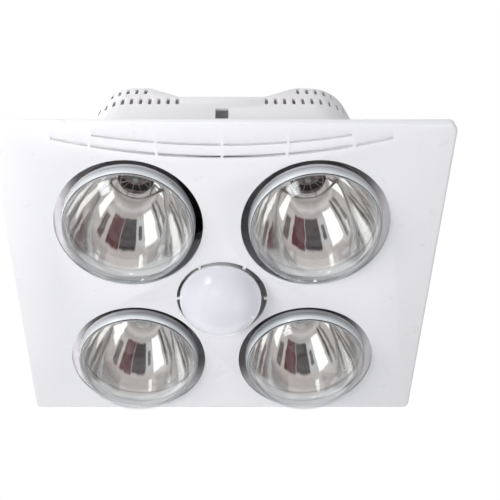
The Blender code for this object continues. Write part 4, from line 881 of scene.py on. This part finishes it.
def filament_mesh():
    """Lead wires, support wires with hooked ends, and the ring of coiled filament."""
    low, high = STEM_LOW_Z, STEM_HIGH_Z
    ring_z = low - 0.002
    bm = bmesh.new()
    for angle in turns_of(8, 0.5):
        out = Vector((math.cos(angle), math.sin(angle), 0.0))
        route = [
            out * 0.0016 + Vector((0, 0, low + 0.0045)),
            out * 0.0050 + Vector((0, 0, low + 0.0050)),
            out * (FILAMENT_RADIUS - 0.0030) + Vector((0, 0, ring_z + 0.0016)),
            out * (FILAMENT_RADIUS - 0.0002) + Vector((0, 0, ring_z + 0.0004)),
        ]
        add_tube(bm, route, 0.00026, 6)
    path = []
    for i, angle in enumerate(turns_of(FILAMENT_TURNS * 8)):
        wind = 2 * math.pi * i / 8
        r = FILAMENT_RADIUS + FILAMENT_COIL * math.cos(wind)
        path.append((*polar(r, angle), ring_z + FILAMENT_COIL * math.sin(wind)))
    add_tube(bm, path, 0.00020, 4, closes=True)
    for side in (-1, 1):
        route = [
            (side * 0.0022, 0.0, high - 0.003),
            (side * 0.0022, 0.0, low + 0.010),
            (side * 0.0060, 0.0, low + 0.002),
            (side * (FILAMENT_RADIUS - 0.0002), 0.0, ring_z),
        ]
        add_tube(bm, route, 0.00042, 8)
    return mesh_of(bm)


def make_lamps():
    thin = LAMP_GLASS
    dome = dome_points(LAMP_RADIUS, LAMP_DOME, LAMP_WIDEST_Z, 26, high=SILVER_EDGE_Z)
    dome += dome_points(LAMP_RADIUS - thin, LAMP_DOME - thin, LAMP_WIDEST_Z, 26, high=SILVER_EDGE_Z)[::-1]
    low, high = SHIELD_Z, SHIELD_Z + SHIELD_SHEET
    shield = [(SHIELD_BORE, low), (SHIELD_RADIUS, low), (SHIELD_RADIUS, high), (SHIELD_BORE, high)]
    cap_low = NECK_END_Z + GAP
    holder = holder_mesh(cap_low, CHASSIS_Z - GAP)
    parts = (
        ("lamp_dome", turned(dome, 96, sharp=50), glass, "heat_lamp_glass", "lamp_glass"),
        ("lamp_bowl", bowl_mesh(), None, "heat_lamp_glass", "lamp_glass"),
        ("lamp_stem", stem_mesh(), stem_glass, "heat_lamp_filament", "filament_wire"),
        ("lamp_filament", filament_mesh(), coil, "heat_lamp_filament", "filament_wire"),
        ("heat_shield", turned(shield, 64), mica, "heat_lamp_filament", "filament_wire"),
        ("screw_cap", cap_mesh(cap_low), plated, "heat_lamp_cap", "plated_cap"),
        ("ceramic_holder", holder, ceramic, "lampholder", "glazed_ceramic"),
    )
    for (place, centre), part in itertools.product(LAMPS.items(), parts):
        name, mesh, material, replaced, slot = part
        piece(f"{name}_{place}", mesh, material, f"{replaced}_{place}", slot, (*centre, 0.0))


def thread_profile(low, high, radius, pitch=0.0034, depth=0.0007):
    """Rolled thread seen as rings: (radius, height) from low to high."""
    count = max(1, round((high - low) / pitch))
    points = []
    for i in range(count * 8 + 1):
        t = i / 8
        r = radius - depth * (0.5 - 0.5 * math.cos(2 * math.pi * t))
        points.append((r, low + (high - low) * t / count))
    return points


def cap_mesh(low):
    high = low + CAP_LENGTH
    wall = [(CAP_RADIUS - 0.0008, low), (CAP_RADIUS, low + 0.0004)]
    wall += thread_profile(low + 0.0015, high - 0.0095, CAP_RADIUS)
    wall += [(CAP_RADIUS - 0.0006, high - 0.009), (0.0070, high - 0.004), (0.0048, high - 0.002)]
    wall += [(0.0045, high - 0.0012), (0.0036, high - 0.0003), (0.0, high)]
    wall += [(0.0, high - 0.004), (0.0045, high - 0.006), (CAP_RADIUS - 0.0016, high - 0.0098)]
    return turned(wall + [(CAP_RADIUS - 0.0016, low)], 48)


def holder_mesh(cap_low, top):
    low = cap_low - HOLDER_SKIRT
    bore_top = cap_low + CAP_LENGTH + GAP
    wall = [(HOLDER_BORE, low), (HOLDER_RADIUS - 0.002, low), (HOLDER_RADIUS, low + 0.002)]
    for i in range(3):
        z = low + 0.008 + 0.0065 * i
        wall += [(HOLDER_RADIUS, z), (HOLDER_RADIUS - HOLDER_GROOVE, z + 0.0008)]
        wall += [(HOLDER_RADIUS - HOLDER_GROOVE, z + 0.0020), (HOLDER_RADIUS, z + 0.0028)]
    wall += [(HOLDER_RADIUS, top - HOLDER_HEAD - 0.002), (HOLDER_HEAD_RADIUS, top - HOLDER_HEAD)]
    wall += [(HOLDER_HEAD_RADIUS, top), (0.0, top), (0.0, bore_top), (HOLDER_BORE, bore_top)]
    return turned(rounded_profile(wall), 64)


def make_light():
    outer = dome_points(LIGHT_RADIUS, LIGHT_DOME, LIGHT_WIDEST_Z, 24)
    inner = dome_points(LIGHT_RADIUS - LIGHT_SHELL, LIGHT_DOME - LIGHT_SHELL, LIGHT_WIDEST_Z, 24)
    low = LIGHT_WIDEST_Z + GAP
    high = low + LIGHT_COLLAR
    neck = high + LIGHT_NECK
    skirt = neck - HOLDER_SKIRT
    body = [(0.0, low), (LIGHT_RADIUS, low), (LIGHT_RADIUS, low + 0.001), (LIGHT_WAIST_RADIUS, low + 0.003)]
    body += [(LIGHT_WAIST_RADIUS, high), (0.0352, high + 0.014), (0.0290, skirt - 0.018)]
    body += [(0.0205, skirt - 0.009), (0.0160, skirt - 0.004), (CAP_RADIUS, skirt), (CAP_RADIUS, neck)]
    body.append((0.0, neck))
    base = turned(rounded_profile(body, 0.004, 6, keep=(1, 2, 3, 4, 9, 10)), 96)
    holder = holder_mesh(neck + GAP, neck + GAP + CAP_LENGTH + HOLDER_TOP)
    parts = (
        ("opal_dome", turned(outer + inner[::-1], 96), opal, "light_diffuser", "opal"),
        ("light_base", base, light_white, "light_body", "light_white"),
        ("light_screw_cap", cap_mesh(neck + GAP), plated, "light_cap", "plated_cap"),
        ("light_ceramic_holder", holder, ceramic, "light_holder", "glazed_ceramic"),
    )
    for part in parts:
        piece(*part, LIGHT_PLACE)


# Screws


def screw_mesh(radius=0.0032, height=0.0017):
    """Pan head with a cross recess, standing on z = 0."""
    rise = [(0.0, 0.0), (radius, 0.0), (radius, 0.35 * height), (0.9 * radius, 0.7 * height)]
    rise += [(0.6 * radius, 0.93 * height), (0.0, height)]
    arm, half = 0.55 * radius, 0.13 * radius
    low, high = 0.45 * height, 2 * height
    cross = boxes((-arm, arm, -half, half, low, high))
    other = boxes((-half, half, -arm, arm, low, high))
    return carved(turned(rise, 24), ("-", cross), ("-", other))


SCREW = screw_mesh()


def screws(name, places, turn=Matrix.Identity(4)):
    """One piece of several screw heads, each place turned by the same matrix."""
    bm = bmesh.new()
    for i, place in enumerate(places):
        copy = SCREW.copy()
        copy.transform(Matrix.Translation(place) @ turn @ Matrix.Rotation(0.5 + 1.7 * i, 4, "Z"))
        bm.from_mesh(copy)
    piece(name, finished(bm), bright, None, "bright_steel")


# Fan


def scroll_radius(angle):
    """The scroll grows from its tongue round to its outlet."""
    return SCROLL_START_RADIUS * math.exp(SCROLL_GROWTH * (angle - SCROLL_TONGUE))


def scroll_outline(grow, end_y, steps=96):
    east = FAN_X + SCROLL_END_RADIUS + grow
    west = FAN_X + SCROLL_END_RADIUS - OUTLET_WIDTH - grow
    rise = math.sqrt((SCROLL_START_RADIUS + grow) ** 2 - (west - FAN_X) ** 2)
    points = [(west, FAN_Y + rise + grow)]
    for i in range(steps + 1):
        angle = SCROLL_TONGUE + (2 * math.pi - SCROLL_TONGUE) * i / steps
        x, y = polar(scroll_radius(angle) + grow, angle, FAN)
        if x < west - grow or angle > math.pi:
            points.append((x, y))
    return points + [(east, end_y), (west, end_y)]


def make_scroll():
    low = DECK_HEIGHT - HOUSING_WALL - INLET_LIP
    outer = INLET_RADIUS + SCROLL_WALL
    inner, floor = INLET_RADIUS - PAST, SCROLL_FLOOR_Z - 0.0006
    mouth = [(inner, low), (outer, low), (outer, floor), (inner, floor)]
    lip = outer - 0.0004
    flare = [(0.0, low - PAST), (lip, low - PAST), (lip, low)]
    for turn in quarter(8, 1):
        r = lip - (lip - INLET_RADIUS) * math.sin(turn)
        flare.append((r, low + (SCROLL_Z - low) * (1 - math.cos(turn))))
    flare += [(INLET_RADIUS, SCROLL_FLOOR_Z + PAST), (0.0, SCROLL_FLOOR_Z + PAST)]
    bead = scroll_outline(SCROLL_WALL + SCROLL_BEAD, OUTLET_Y)
    casing = carved(
        prisms([scroll_outline(SCROLL_WALL, OUTLET_Y)], SCROLL_Z, SCROLL_TOP_Z),
        ("+", prisms([bead], SCROLL_TOP_Z - 0.0045, SCROLL_TOP_Z)),
        ("-", prisms([scroll_outline(0.0, OUTLET_Y + PAST)], SCROLL_FLOOR_Z, SCROLL_TOP_Z + PAST)),
        ("+", turned(mouth, 96, FAN)),
        ("-", turned(flare, 96, FAN)),
        bevel=0.0004,
    )
    piece("scroll_casing", casing, grey, "fan_scroll", "fan_grey")


def make_cover():
    ribs = []
    for angle in turns_of(COVER_RIBS, 0.5):
        out = Vector((math.cos(angle), math.sin(angle)))
        across = Vector((-out.y, out.x)) * 0.001
        start, end = out * (MOTOR_FLANGE_RADIUS + 0.002), out * (SCROLL_START_RADIUS - 0.002)
        corners = (start - across, end - across, end + across, start + across)
        ribs.append([tuple(Vector(FAN) + corner) for corner in corners])
    plateau = scroll_outline(-0.0005, OUTLET_Y - 0.004)
    hole = circle(MOTOR_RADIUS + 0.0006, 96, FAN)
    cover = carved(
        prisms([scroll_outline(SCROLL_WALL + SCROLL_BEAD, OUTLET_Y)], COVER_Z, COVER_TOP_Z),
        ("+", prisms([plateau], COVER_Z + 0.001, COVER_TOP_Z + COVER_STEP)),
        ("+", prisms(ribs, COVER_TOP_Z - 0.0008, COVER_TOP_Z + 0.003)),
        ("-", prisms([hole], COVER_Z - PAST, COVER_TOP_Z + PAST)),
        bevel=0.0004,
    )
    piece("fan_cover", cover, grey, "scroll_cover", "fan_grey")
    turns = [math.radians(degrees) for degrees in (100, 150, 205, 260, 315)]
    places = [polar(scroll_radius(turn) - 0.0045, turn, FAN) for turn in turns]
    places += [(0.0335, 0.030), (0.0335, 0.088), (-0.0335, 0.088)]
    screws("cover_screws", at_height(places, COVER_TOP_Z + 0.0006))


def blade_outline(middle, steps=8):
    front, back = [], []
    for i in range(steps + 1):
        t = i / steps
        radius = BLADE_INNER + (IMPELLER_RADIUS - BLADE_SETBACK - BLADE_INNER) * t
        angle = middle + BLADE_SWEEP * t * t
        half = BLADE_HALF_SHEET / radius
        front.append(polar(radius, angle + half))
        back.append(polar(radius, angle - half))
    return back + front[::-1]


def make_wheel():
    low, high = IMPELLER_LOW, IMPELLER_HIGH
    cup, rim = high - HUB_CUP_DEPTH, high - SHROUD
    bore, wall = SHAFT_RADIUS + GAP, HUB_CUP_RADIUS - SHROUD
    back = [(bore, cup - HUB_BOSS_LENGTH), (HUB_BOSS_RADIUS, cup - HUB_BOSS_LENGTH), (HUB_BOSS_RADIUS, cup)]
    back += [(HUB_CUP_RADIUS, cup), (HUB_CUP_RADIUS, rim), (IMPELLER_RADIUS, rim), (IMPELLER_RADIUS, high)]
    back += [(wall, high), (wall, cup + SHROUD), (bore, cup + SHROUD)]
    inner, top = BLADE_INNER - 0.001, low + SHROUD
    ring = [(inner, low), (IMPELLER_RADIUS, low), (IMPELLER_RADIUS, top), (inner, top)]
    blades = [blade_outline(turn) for turn in turns_of(BLADES)]
    wheel = carved(
        turned(rounded_profile(back, 0.0006, 3), 96),
        ("+", prisms(blades, low + 0.0007, high - 0.0007)),
        ("+", turned(rounded_profile(ring, 0.0004, 3), 96)),
    )
    piece("fan_wheel", wheel, black, "impeller", "impeller_black", FAN_PLACE, "fan_rotor")


def make_motor():
    seat, wall = BEARING_RADIUS + GAP, MOTOR_WALL
    hub, shaft, inner = seat + wall, SHAFT_RADIUS + 2 * GAP, MOTOR_RADIUS - wall
    low, high = MOTOR_LOW, MOTOR_HIGH
    floor = low + wall
    lower = [(shaft, low), (MOTOR_RADIUS - 0.004, low), (MOTOR_RADIUS, low + 0.004)]
    lower += [(MOTOR_RADIUS, MOTOR_FLANGE_Z), (MOTOR_FLANGE_RADIUS, MOTOR_FLANGE_Z)]
    lower += [(MOTOR_FLANGE_RADIUS, MOTOR_SEAM_Z), (inner, MOTOR_SEAM_Z), (inner, low + 0.005)]
    lower += [(MOTOR_RADIUS - 0.005, floor), (hub, floor), (hub, floor + BEARING_HEIGHT)]
    lower += [(seat, floor + BEARING_HEIGHT), (seat, floor), (shaft, floor)]
    case = turned(rounded_profile(lower, 0.0010, 4), 96)
    piece("motor_lower_case", case, zinc, "motor_lower_shell", "zinc_sheet", FAN_PLACE)
    start = MOTOR_SEAM_Z + GAP
    flange_top, roof = start + MOTOR_FLANGE, high - wall
    upper = [(inner, start), (MOTOR_FLANGE_RADIUS, start), (MOTOR_FLANGE_RADIUS, flange_top)]
    upper += [(MOTOR_RADIUS, flange_top), (MOTOR_RADIUS, high - 0.006), (MOTOR_RADIUS - 0.006, high)]
    upper += [(0.017, high), (0.0155, high - 0.0012), (0.0125, high - 0.0012), (0.011, high), (0.0, high)]
    upper += [(0.0, roof), (seat, roof), (seat, roof - BEARING_HEIGHT), (hub, roof - BEARING_HEIGHT)]
    upper += [(hub, roof), (MOTOR_RADIUS - 0.007, roof), (inner, high - 0.008)]
    slots = []
    rim = rounded_rectangle(0.0215, 0.0305, -0.0013, 0.0013, 0.0012, 4)
    for angle in turns_of(10, 0.5):
        turn = Matrix.Rotation(angle, 2)
        slots.append([tuple(turn @ Vector(point)) for point in rim])
    blank = turned(rounded_profile(upper, 0.0016, 5, keep=(0, 11, 12, 13, 14, 15)), 96)
    case = carved(blank, ("-", prisms(slots, high - 0.0007, high + PAST)))
    piece("motor_upper_case", case, zinc, "motor_upper_shell", "zinc_sheet", FAN_PLACE)
    places = [polar(MOTOR_RADIUS + 0.0042, math.pi / 4 + turn + math.pi / 8, FAN) for turn in turns_of(4)]
    screws("motor_screws", at_height(places, flange_top))


def make_winding():
    """End turns as bundles of enamelled wire, one above and one below the core, joined in its slots."""
    core_low = (MOTOR_LOW + MOTOR_HIGH - STATOR_HEIGHT) / 2
    core_high = core_low + STATOR_HEIGHT
    rows, columns = 4, 5
    bm = bmesh.new()
    for base, up in ((core_low - GAP, -1), (core_high + GAP, 1)):
        for row, column in itertools.product(range(rows), range(columns)):
            across = WINDING_OUTER - WINDING_INNER - 0.0018
            radius = WINDING_INNER + 0.0009 + across * column / (columns - 1)
            z = base + up * (0.0009 + 0.0013 * row)
            waves = [(a, 0.00025 * math.sin(8 * a + column)) for a in turns_of(72)]
            path = [(*polar(radius + wave, a), z + wave) for a, wave in waves]
            add_tube(bm, path, WIRE_RADIUS, 8, closes=True)
    for angle in turns_of(8, 0.5):
        turn = Matrix.Rotation(angle, 2)
        for r, across in itertools.product((0.0240, 0.0258), (-0.0020, 0.0, 0.0020)):
            x, y = turn @ Vector((r, across))
            add_tube(bm, [(x, y, core_low - 0.001), (x, y, core_high + 0.001)], 0.00092, 8)
    piece("coil_winding", mesh_of(bm), copper, "stator_winding", "copper_wire", FAN_PLACE)


# Duct


def duct_ring(y, grow, roundness, side_steps=12, top_steps=28):
    """A section of the duct at y, from the outlet's rectangle (0) to the round spigot (1)."""
    half_width = OUTLET_WIDTH / 2 + grow
    half_height = SCROLL_HEIGHT / 2 + grow
    corner = math.atan2(SCROLL_HEIGHT, OUTLET_WIDTH)
    stretches = ((-corner, corner, side_steps), (corner, math.pi - corner, top_steps))
    points = []
    for start, (first, last, steps) in itertools.product((0.0, math.pi), stretches):
        for i in range(steps):
            angle = start + first + (last - first) * i / steps
            across, up = math.cos(angle), math.sin(angle)
            flat = abs(math.remainder(angle, math.pi))
            reach = half_width / abs(across) if flat <= corner + 1e-9 else half_height / abs(up)
            if abs(flat - corner) < 1e-9:
                square = (math.copysign(half_width, across), math.copysign(half_height, up))
            else:
                square = (reach * across, reach * up)
            ring = polar(SPIGOT_RADIUS + grow, angle)
            x, z = (s + (r - s) * roundness for s, r in zip(square, ring))
            points.append((x, y, OUTLET_MIDDLE_Z + z))
    return points


def make_duct():
    wall = SPIGOT_WALL
    bead = SPIGOT_ROUND_Y + SPIGOT_ROUND * 0.6
    length = SPIGOT_ROUND_Y - SPIGOT_LOFT_Y
    blend = [(SPIGOT_LOFT_Y + length * t, t * t * (3 - 2 * t)) for t in (i / 10 for i in range(1, 11))]
    sections = [(SPIGOT_Y, wall, 0.0), (SPIGOT_LOFT_Y, wall, 0.0)]
    sections += [(y, wall, roundness) for y, roundness in blend]
    for turn in (math.pi * i / 8 for i in range(9)):
        sections.append((bead - 0.002 * math.cos(turn), wall + 0.0015 * math.sin(turn), 1.0))
    sections += [(SPIGOT_END_Y - 0.0006, wall, 1.0), (SPIGOT_END_Y, wall - 0.0006, 1.0)]
    sections.append((SPIGOT_END_Y, 0.0, 1.0))
    sections += [(y, 0.0, roundness) for y, roundness in reversed(blend)]
    sections += [(SPIGOT_LOFT_Y, 0.0, 0.0), (SPIGOT_Y, 0.0, 0.0)]
    half = OUTLET_WIDTH / 2
    side, inside = 0.006 + SCROLL_WALL, wall / 2
    top, flange_y = SCROLL_TOP_Z + inside, SPIGOT_Y + SPIGOT_FLANGE
    flanges = boxes(
        (half + inside, half + side, SPIGOT_Y, flange_y, SCROLL_Z, top + side),
        (-half - side, -half - inside, SPIGOT_Y, flange_y, SCROLL_Z, top + side),
    )
    stop_y = FLAP_PIN_Y - FLAP_HALF_SHEET - GAP
    stop_x, stop_low = half + 0.0006, SCROLL_FLOOR_Z - 0.0006
    pin = circle(FLAP_PIN_RADIUS + GAP, 24, (FLAP_PIN_Y, FLAP_PIN_Z))
    duct = carved(
        loft([duct_ring(*section) for section in sections], ring_closes=True),
        ("+", flanges),
        ("+", boxes((-half - side / 2, half + side / 2, SPIGOT_Y, flange_y, top, top + side))),
        ("+", boxes((-stop_x, stop_x, stop_y - 0.0015, stop_y, stop_low, SCROLL_FLOOR_Z + 0.004))),
        ("-", rods(pin, half + 2 * wall)),
        bevel=0.0004,
    )
    piece("duct_connector", duct, grey, "duct_spigot", "fan_grey")
    places = [(x * (half + 0.0050), flange_y, z) for x in (-1, 1) for z in (0.156, 0.186)]
    screws("duct_screws", places, Matrix.Rotation(-math.pi / 2, 4, "X"))


def make_flap():
    half = OUTLET_WIDTH / 2 - 0.0015
    drop = FLAP_PIN_Z - SCROLL_FLOOR_Z - 0.0014
    ribs = [(x - 0.0006, x + 0.0006, 0.0, 0.0022, 0.006 - drop, -0.004) for x in (-0.024, 0.0, 0.024)]
    flap = carved(
        boxes((-half, half, -FLAP_HALF_SHEET, FLAP_HALF_SHEET, -drop, 0.0)),
        ("+", boxes(*ribs)),
        ("+", rods(circle(FLAP_KNUCKLE_RADIUS, 32), half)),
        ("-", rods(circle(FLAP_PIN_RADIUS + GAP, 32), half + PAST)),
        bevel=0.0003,
    )
    place = (0.0, FLAP_PIN_Y, FLAP_PIN_Z)
    piece("flap_blade", flap, black, "backdraft_flap", "impeller_black", place, "flap")


# Wiring


def rounded_top(top, rounding):
    """(height, inset) up a rounded upper edge."""
    return [(top - rounding + rounding * math.sin(t), rounding * (1 - math.cos(t))) for t in quarter(5, 1)]


def make_terminal_box():
    floor, top = TERMINAL_FLOOR, TERMINAL_TOP
    levels = [(floor, 0.0), (top - TERMINAL_ROUNDING, 0.0)] + rounded_top(top, TERMINAL_ROUNDING)
    well = inset_rectangle(TERMINAL_BOX, TERMINAL_WALL, 0.003, 8)
    entry = circle(GLAND_RADIUS + GAP, 48, (GLAND_X, TERMINAL_Y))
    south = TERMINAL_BOX[2]
    ends = (south - 0.002, south + 0.0006, floor + 0.004, top - 0.006)
    grip = [(x - 0.0006, x + 0.0006, *ends) for x in (-0.012, -0.008, -0.004)]
    cover = carved(
        loft([at_height(inset_rectangle(TERMINAL_BOX, c, TERMINAL_CORNER - c, 8), z) for z, c in levels]),
        ("-", prisms([well], floor - PAST, top - TERMINAL_WALL)),
        ("-", prisms([entry], top - 0.01, top + PAST)),
        ("-", boxes(*grip)),
    )
    piece("terminal_box", cover, light_white, "terminal_cover", "light_white")
    screws("terminal_screws", [(-0.030, TERMINAL_Y, top), (0.0325, TERMINAL_Y, top)])
    barrel = [(GLAND_BORE, top - 0.004), (GLAND_RADIUS, top - 0.004), (GLAND_RADIUS, top + 0.0045)]
    barrel += [(0.0078, top + 0.0052), (0.0078, top + 0.0078), (GLAND_RADIUS, top + 0.0112)]
    barrel += [(0.0056, top + 0.012), (GLAND_BORE, top + 0.0114)]
    gland = carved(
        turned(rounded_profile(barrel, 0.0006, 3), 48),
        ("+", prisms([circle(GLAND_NUT_RADIUS, 6)], top + GAP, top + 0.0046)),
        ("-", prisms([circle(GLAND_BORE, 48)], top - 0.01, top + 0.02)),
        bevel=0.0003,
    )
    place = (GLAND_X, TERMINAL_Y, 0.0)
    piece("cable_gland_nut", gland, black, "cable_gland", "impeller_black", place)


def make_capacitor():
    low = DECK_HEIGHT + GAP
    top = low + CAPACITOR_HEIGHT
    levels = [(low, 0.0006), (low + 0.0006, 0.0), (top - CAPACITOR_ROUNDING, 0.0)]
    levels += rounded_top(top, CAPACITOR_ROUNDING)
    rings = [
        at_height(inset_rectangle(CAPACITOR_BOX, c, 0.003 - min(c, 0.0025), 6), z) for z, c in levels
    ]
    well = inset_rectangle(CAPACITOR_BOX, 0.0025, 0.0015, 6)
    pads = [rounded_rectangle(0.0845, 0.0915, y - 0.003, y + 0.003, 0.0008, 3) for y in (-0.030, -0.010)]
    case = carved(
        loft(rings),
        ("-", prisms([well], top - 0.0012, top + PAST)),
        ("+", prisms(pads, top - 0.0020, top - 0.0003)),
    )
    piece("capacitor_case", case, light_white, "run_capacitor", "light_white")


make_fascia()
make_housing()
make_lamps()
make_light()
make_scroll()
make_cover()
make_wheel()
make_motor()
make_winding()
make_duct()
make_flap()
make_terminal_box()
make_capacitor()

# Nodes that keep their CAD shape
KEPT = {
    zinc: ("lamp_chassis", "light_strap"),
    black: ("terminal_block",),
    bright: ("motor_shaft", "motor_lower_bearing", "motor_upper_bearing", "flap_pin"),
    laminations: ("rotor_core", "stator_core"),
}
for material, names in KEPT.items():
    for name in names:
        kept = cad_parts[name].data
        kept.materials.clear()
        kept.materials.append(material)


# Studio


def studio_floor():
    bm = bmesh.new()
    bmesh.ops.create_grid(bm, x_segments=2, y_segments=2, size=6.0)
    floor = put("studio_floor", mesh_of(bm), (0.0, 0.0, -1.4))
    made, tree, shader = nodes_of("studio_floor")
    tint = ramp(tree, noise(tree, 3.0), (0.3, (0.80, 0.80, 0.80)), (0.7, (0.84, 0.84, 0.84)))
    feed(tree, shader, {"Base Color": tint, "Roughness": 0.9})
    rays = node(tree, "LightPath", {}).outputs
    pale = node(tree, "Emission", {"Color": (1.0, 1.0, 1.0, 1.0)})
    whole = mixed(tree, maths(tree, "MULTIPLY", rays["Is Camera Ray"], 0.8), shader, pale)
    feed(tree, tree.nodes["Material Output"], {"Surface": whole.outputs["Shader"]})
    floor.data.materials.append(made)
    floor.visible_glossy = False


def area_light(name, place, aim, size, power):
    data = bpy.data.lights.new(name, "AREA")
    data.size = size
    data.energy = power
    lamp = put(name, data, place)
    lamp.rotation_euler = (Vector(aim) - Vector(place)).to_track_quat("-Z", "Y").to_euler()
    lamp.visible_glossy = False


def band_mask(tree, value, low, high, soft):
    """1 between low and high, 0 outside, with soft edges."""
    inside, past = (
        spread(tree, value, 0.0, 1.0, edge - soft, edge + soft, interpolation_type="SMOOTHSTEP")
        for edge in (low, high)
    )
    return maths(tree, "MULTIPLY", inside, maths(tree, "SUBTRACT", 1.0, past))


# What shiny pieces reflect: soft boxes, flags and walls round the object. Each is a sector of
# directions: tilt away from straight down, turn from +X, and the softness of its edges, in degrees
STUDIO_CARDS = (
    (48, 63, 25, 155, 2.0, (0.62, 0.57, 0.56)),
    (63, 100, 55, 135, 2.5, (1.35, 1.35, 1.36)),
    (66, 98, -132, -116, 2.0, (7.0, 7.0, 7.1)),
    (27, 49, 124, 174, 1.2, (0.120, 0.048, 0.052)),
    (27, 48, 66, 122, 1.2, (0.070, 0.060, 0.064)),
    (28, 47, 36, 62, 1.2, (0.60, 0.61, 0.64)),
    (33, 43, 44, 57, 0.8, (0.10, 0.10, 0.11)),
    (25, 49, -14, 33, 1.2, (1.4, 1.4, 1.4)),
    (22, 52, -36, -24, 1.5, (0.10, 0.095, 0.10)),
    (24, 55, -62, -48, 1.5, (0.22, 0.21, 0.21)),
    (20, 42, -138, -100, 1.0, (1.4, 1.38, 1.38)),
    (33, 50, -172, -148, 1.5, (0.16, 0.14, 0.14)),
    (52, 59, 40, 52, 0.8, (1.4, 1.4, 1.4)),
)

# The walls behind the cards, by tilt as a share of 180 degrees
STUDIO_WALLS = (
    (0.00, (0.42, 0.38, 0.38)),
    (0.055, (0.72, 0.70, 0.70)),
    (0.085, (0.36, 0.33, 0.33)),
    (0.115, (0.70, 0.67, 0.67)),
    (0.135, (0.46, 0.43, 0.43)),
    (0.16, (0.62, 0.58, 0.575)),
    (0.28, (0.60, 0.555, 0.545)),
    (0.33, (0.27, 0.245, 0.245)),
    (0.56, (0.30, 0.28, 0.28)),
    (0.61, (0.80, 0.82, 0.84)),
    (1.00, (0.70, 0.71, 0.73)),
)


def reflected_studio(tree):
    axes = axes_of(tree, "Generated")
    down = maths(tree, "MULTIPLY", axes["Z"], -1.0)
    tilt = maths(tree, "DEGREES", maths(tree, "ARCCOSINE", down))
    turn = maths(tree, "DEGREES", maths(tree, "ARCTAN2", axes["Y"], axes["X"]))
    colour = ramp(tree, maths(tree, "DIVIDE", tilt, 180.0), *STUDIO_WALLS)
    for low, high, first, last, soft, card in STUDIO_CARDS:
        tilted = band_mask(tree, tilt, low, high, soft)
        turned_to = band_mask(tree, turn, first, last, soft * 1.5)
        sockets = {0: maths(tree, "MULTIPLY", tilted, turned_to), 6: colour, 7: (*card, 1.0)}
        colour = node(tree, "Mix", sockets, data_type="RGBA").outputs[2]
    return colour


def studio_world():
    """White for the camera, the cards for shiny pieces and a soft pale sky for the rest."""
    world = bpy.data.worlds.new("studio")
    bpy.context.scene.world = world
    world.use_nodes = True
    tree = world.node_tree
    tree.nodes.clear()
    rays = node(tree, "LightPath", {}).outputs
    seen = node(tree, "Background", {"Color": (1.0, 1.0, 1.0, 1.0)})
    given = node(tree, "Background", {"Color": (0.93, 0.94, 0.97, 1.0), "Strength": 0.42})
    cards = node(tree, "Background", {"Color": reflected_studio(tree)})
    shiny = mixed(tree, rays["Is Glossy Ray"], given, cards)
    direct = maths(tree, "MAXIMUM", rays["Is Camera Ray"], rays["Is Transmission Ray"])
    node(tree, "OutputWorld", {"Surface": mixed(tree, direct, shiny, seen).outputs["Shader"]})


def studio_camera():
    data = bpy.data.cameras.new("camera")
    data.lens = 60.30
    data.sensor_width = 36.0
    data.shift_x = 0.0562
    data.clip_start = 0.01
    camera = put("camera", data, (0.0, -0.51755, -0.6606))
    camera.rotation_euler = (math.radians(90 + 54.55), 0.0, 0.0)
    bpy.context.scene.camera = camera


studio_floor()
studio_world()
area_light("key", (-0.76, -0.42, -0.74), (0.0, 0.0, 0.0), 0.45, 6.2)
area_light("fill", (-0.20, -0.80, -1.00), (0.0, 0.0, 0.0), 0.40, 3.4)
area_light("front", (-0.82, -1.12, 0.42), (0.0, -0.1, 0.05), 0.8, 11.5)
area_light("left", (-1.15, 0.25, 0.45), (0.0, 0.0, 0.05), 0.8, 12.0)
area_light("right", (1.15, 0.25, 0.45), (0.0, 0.0, 0.05), 0.8, 4.0)
studio_camera()
bpy.context.scene.view_settings.view_transform = "Standard"
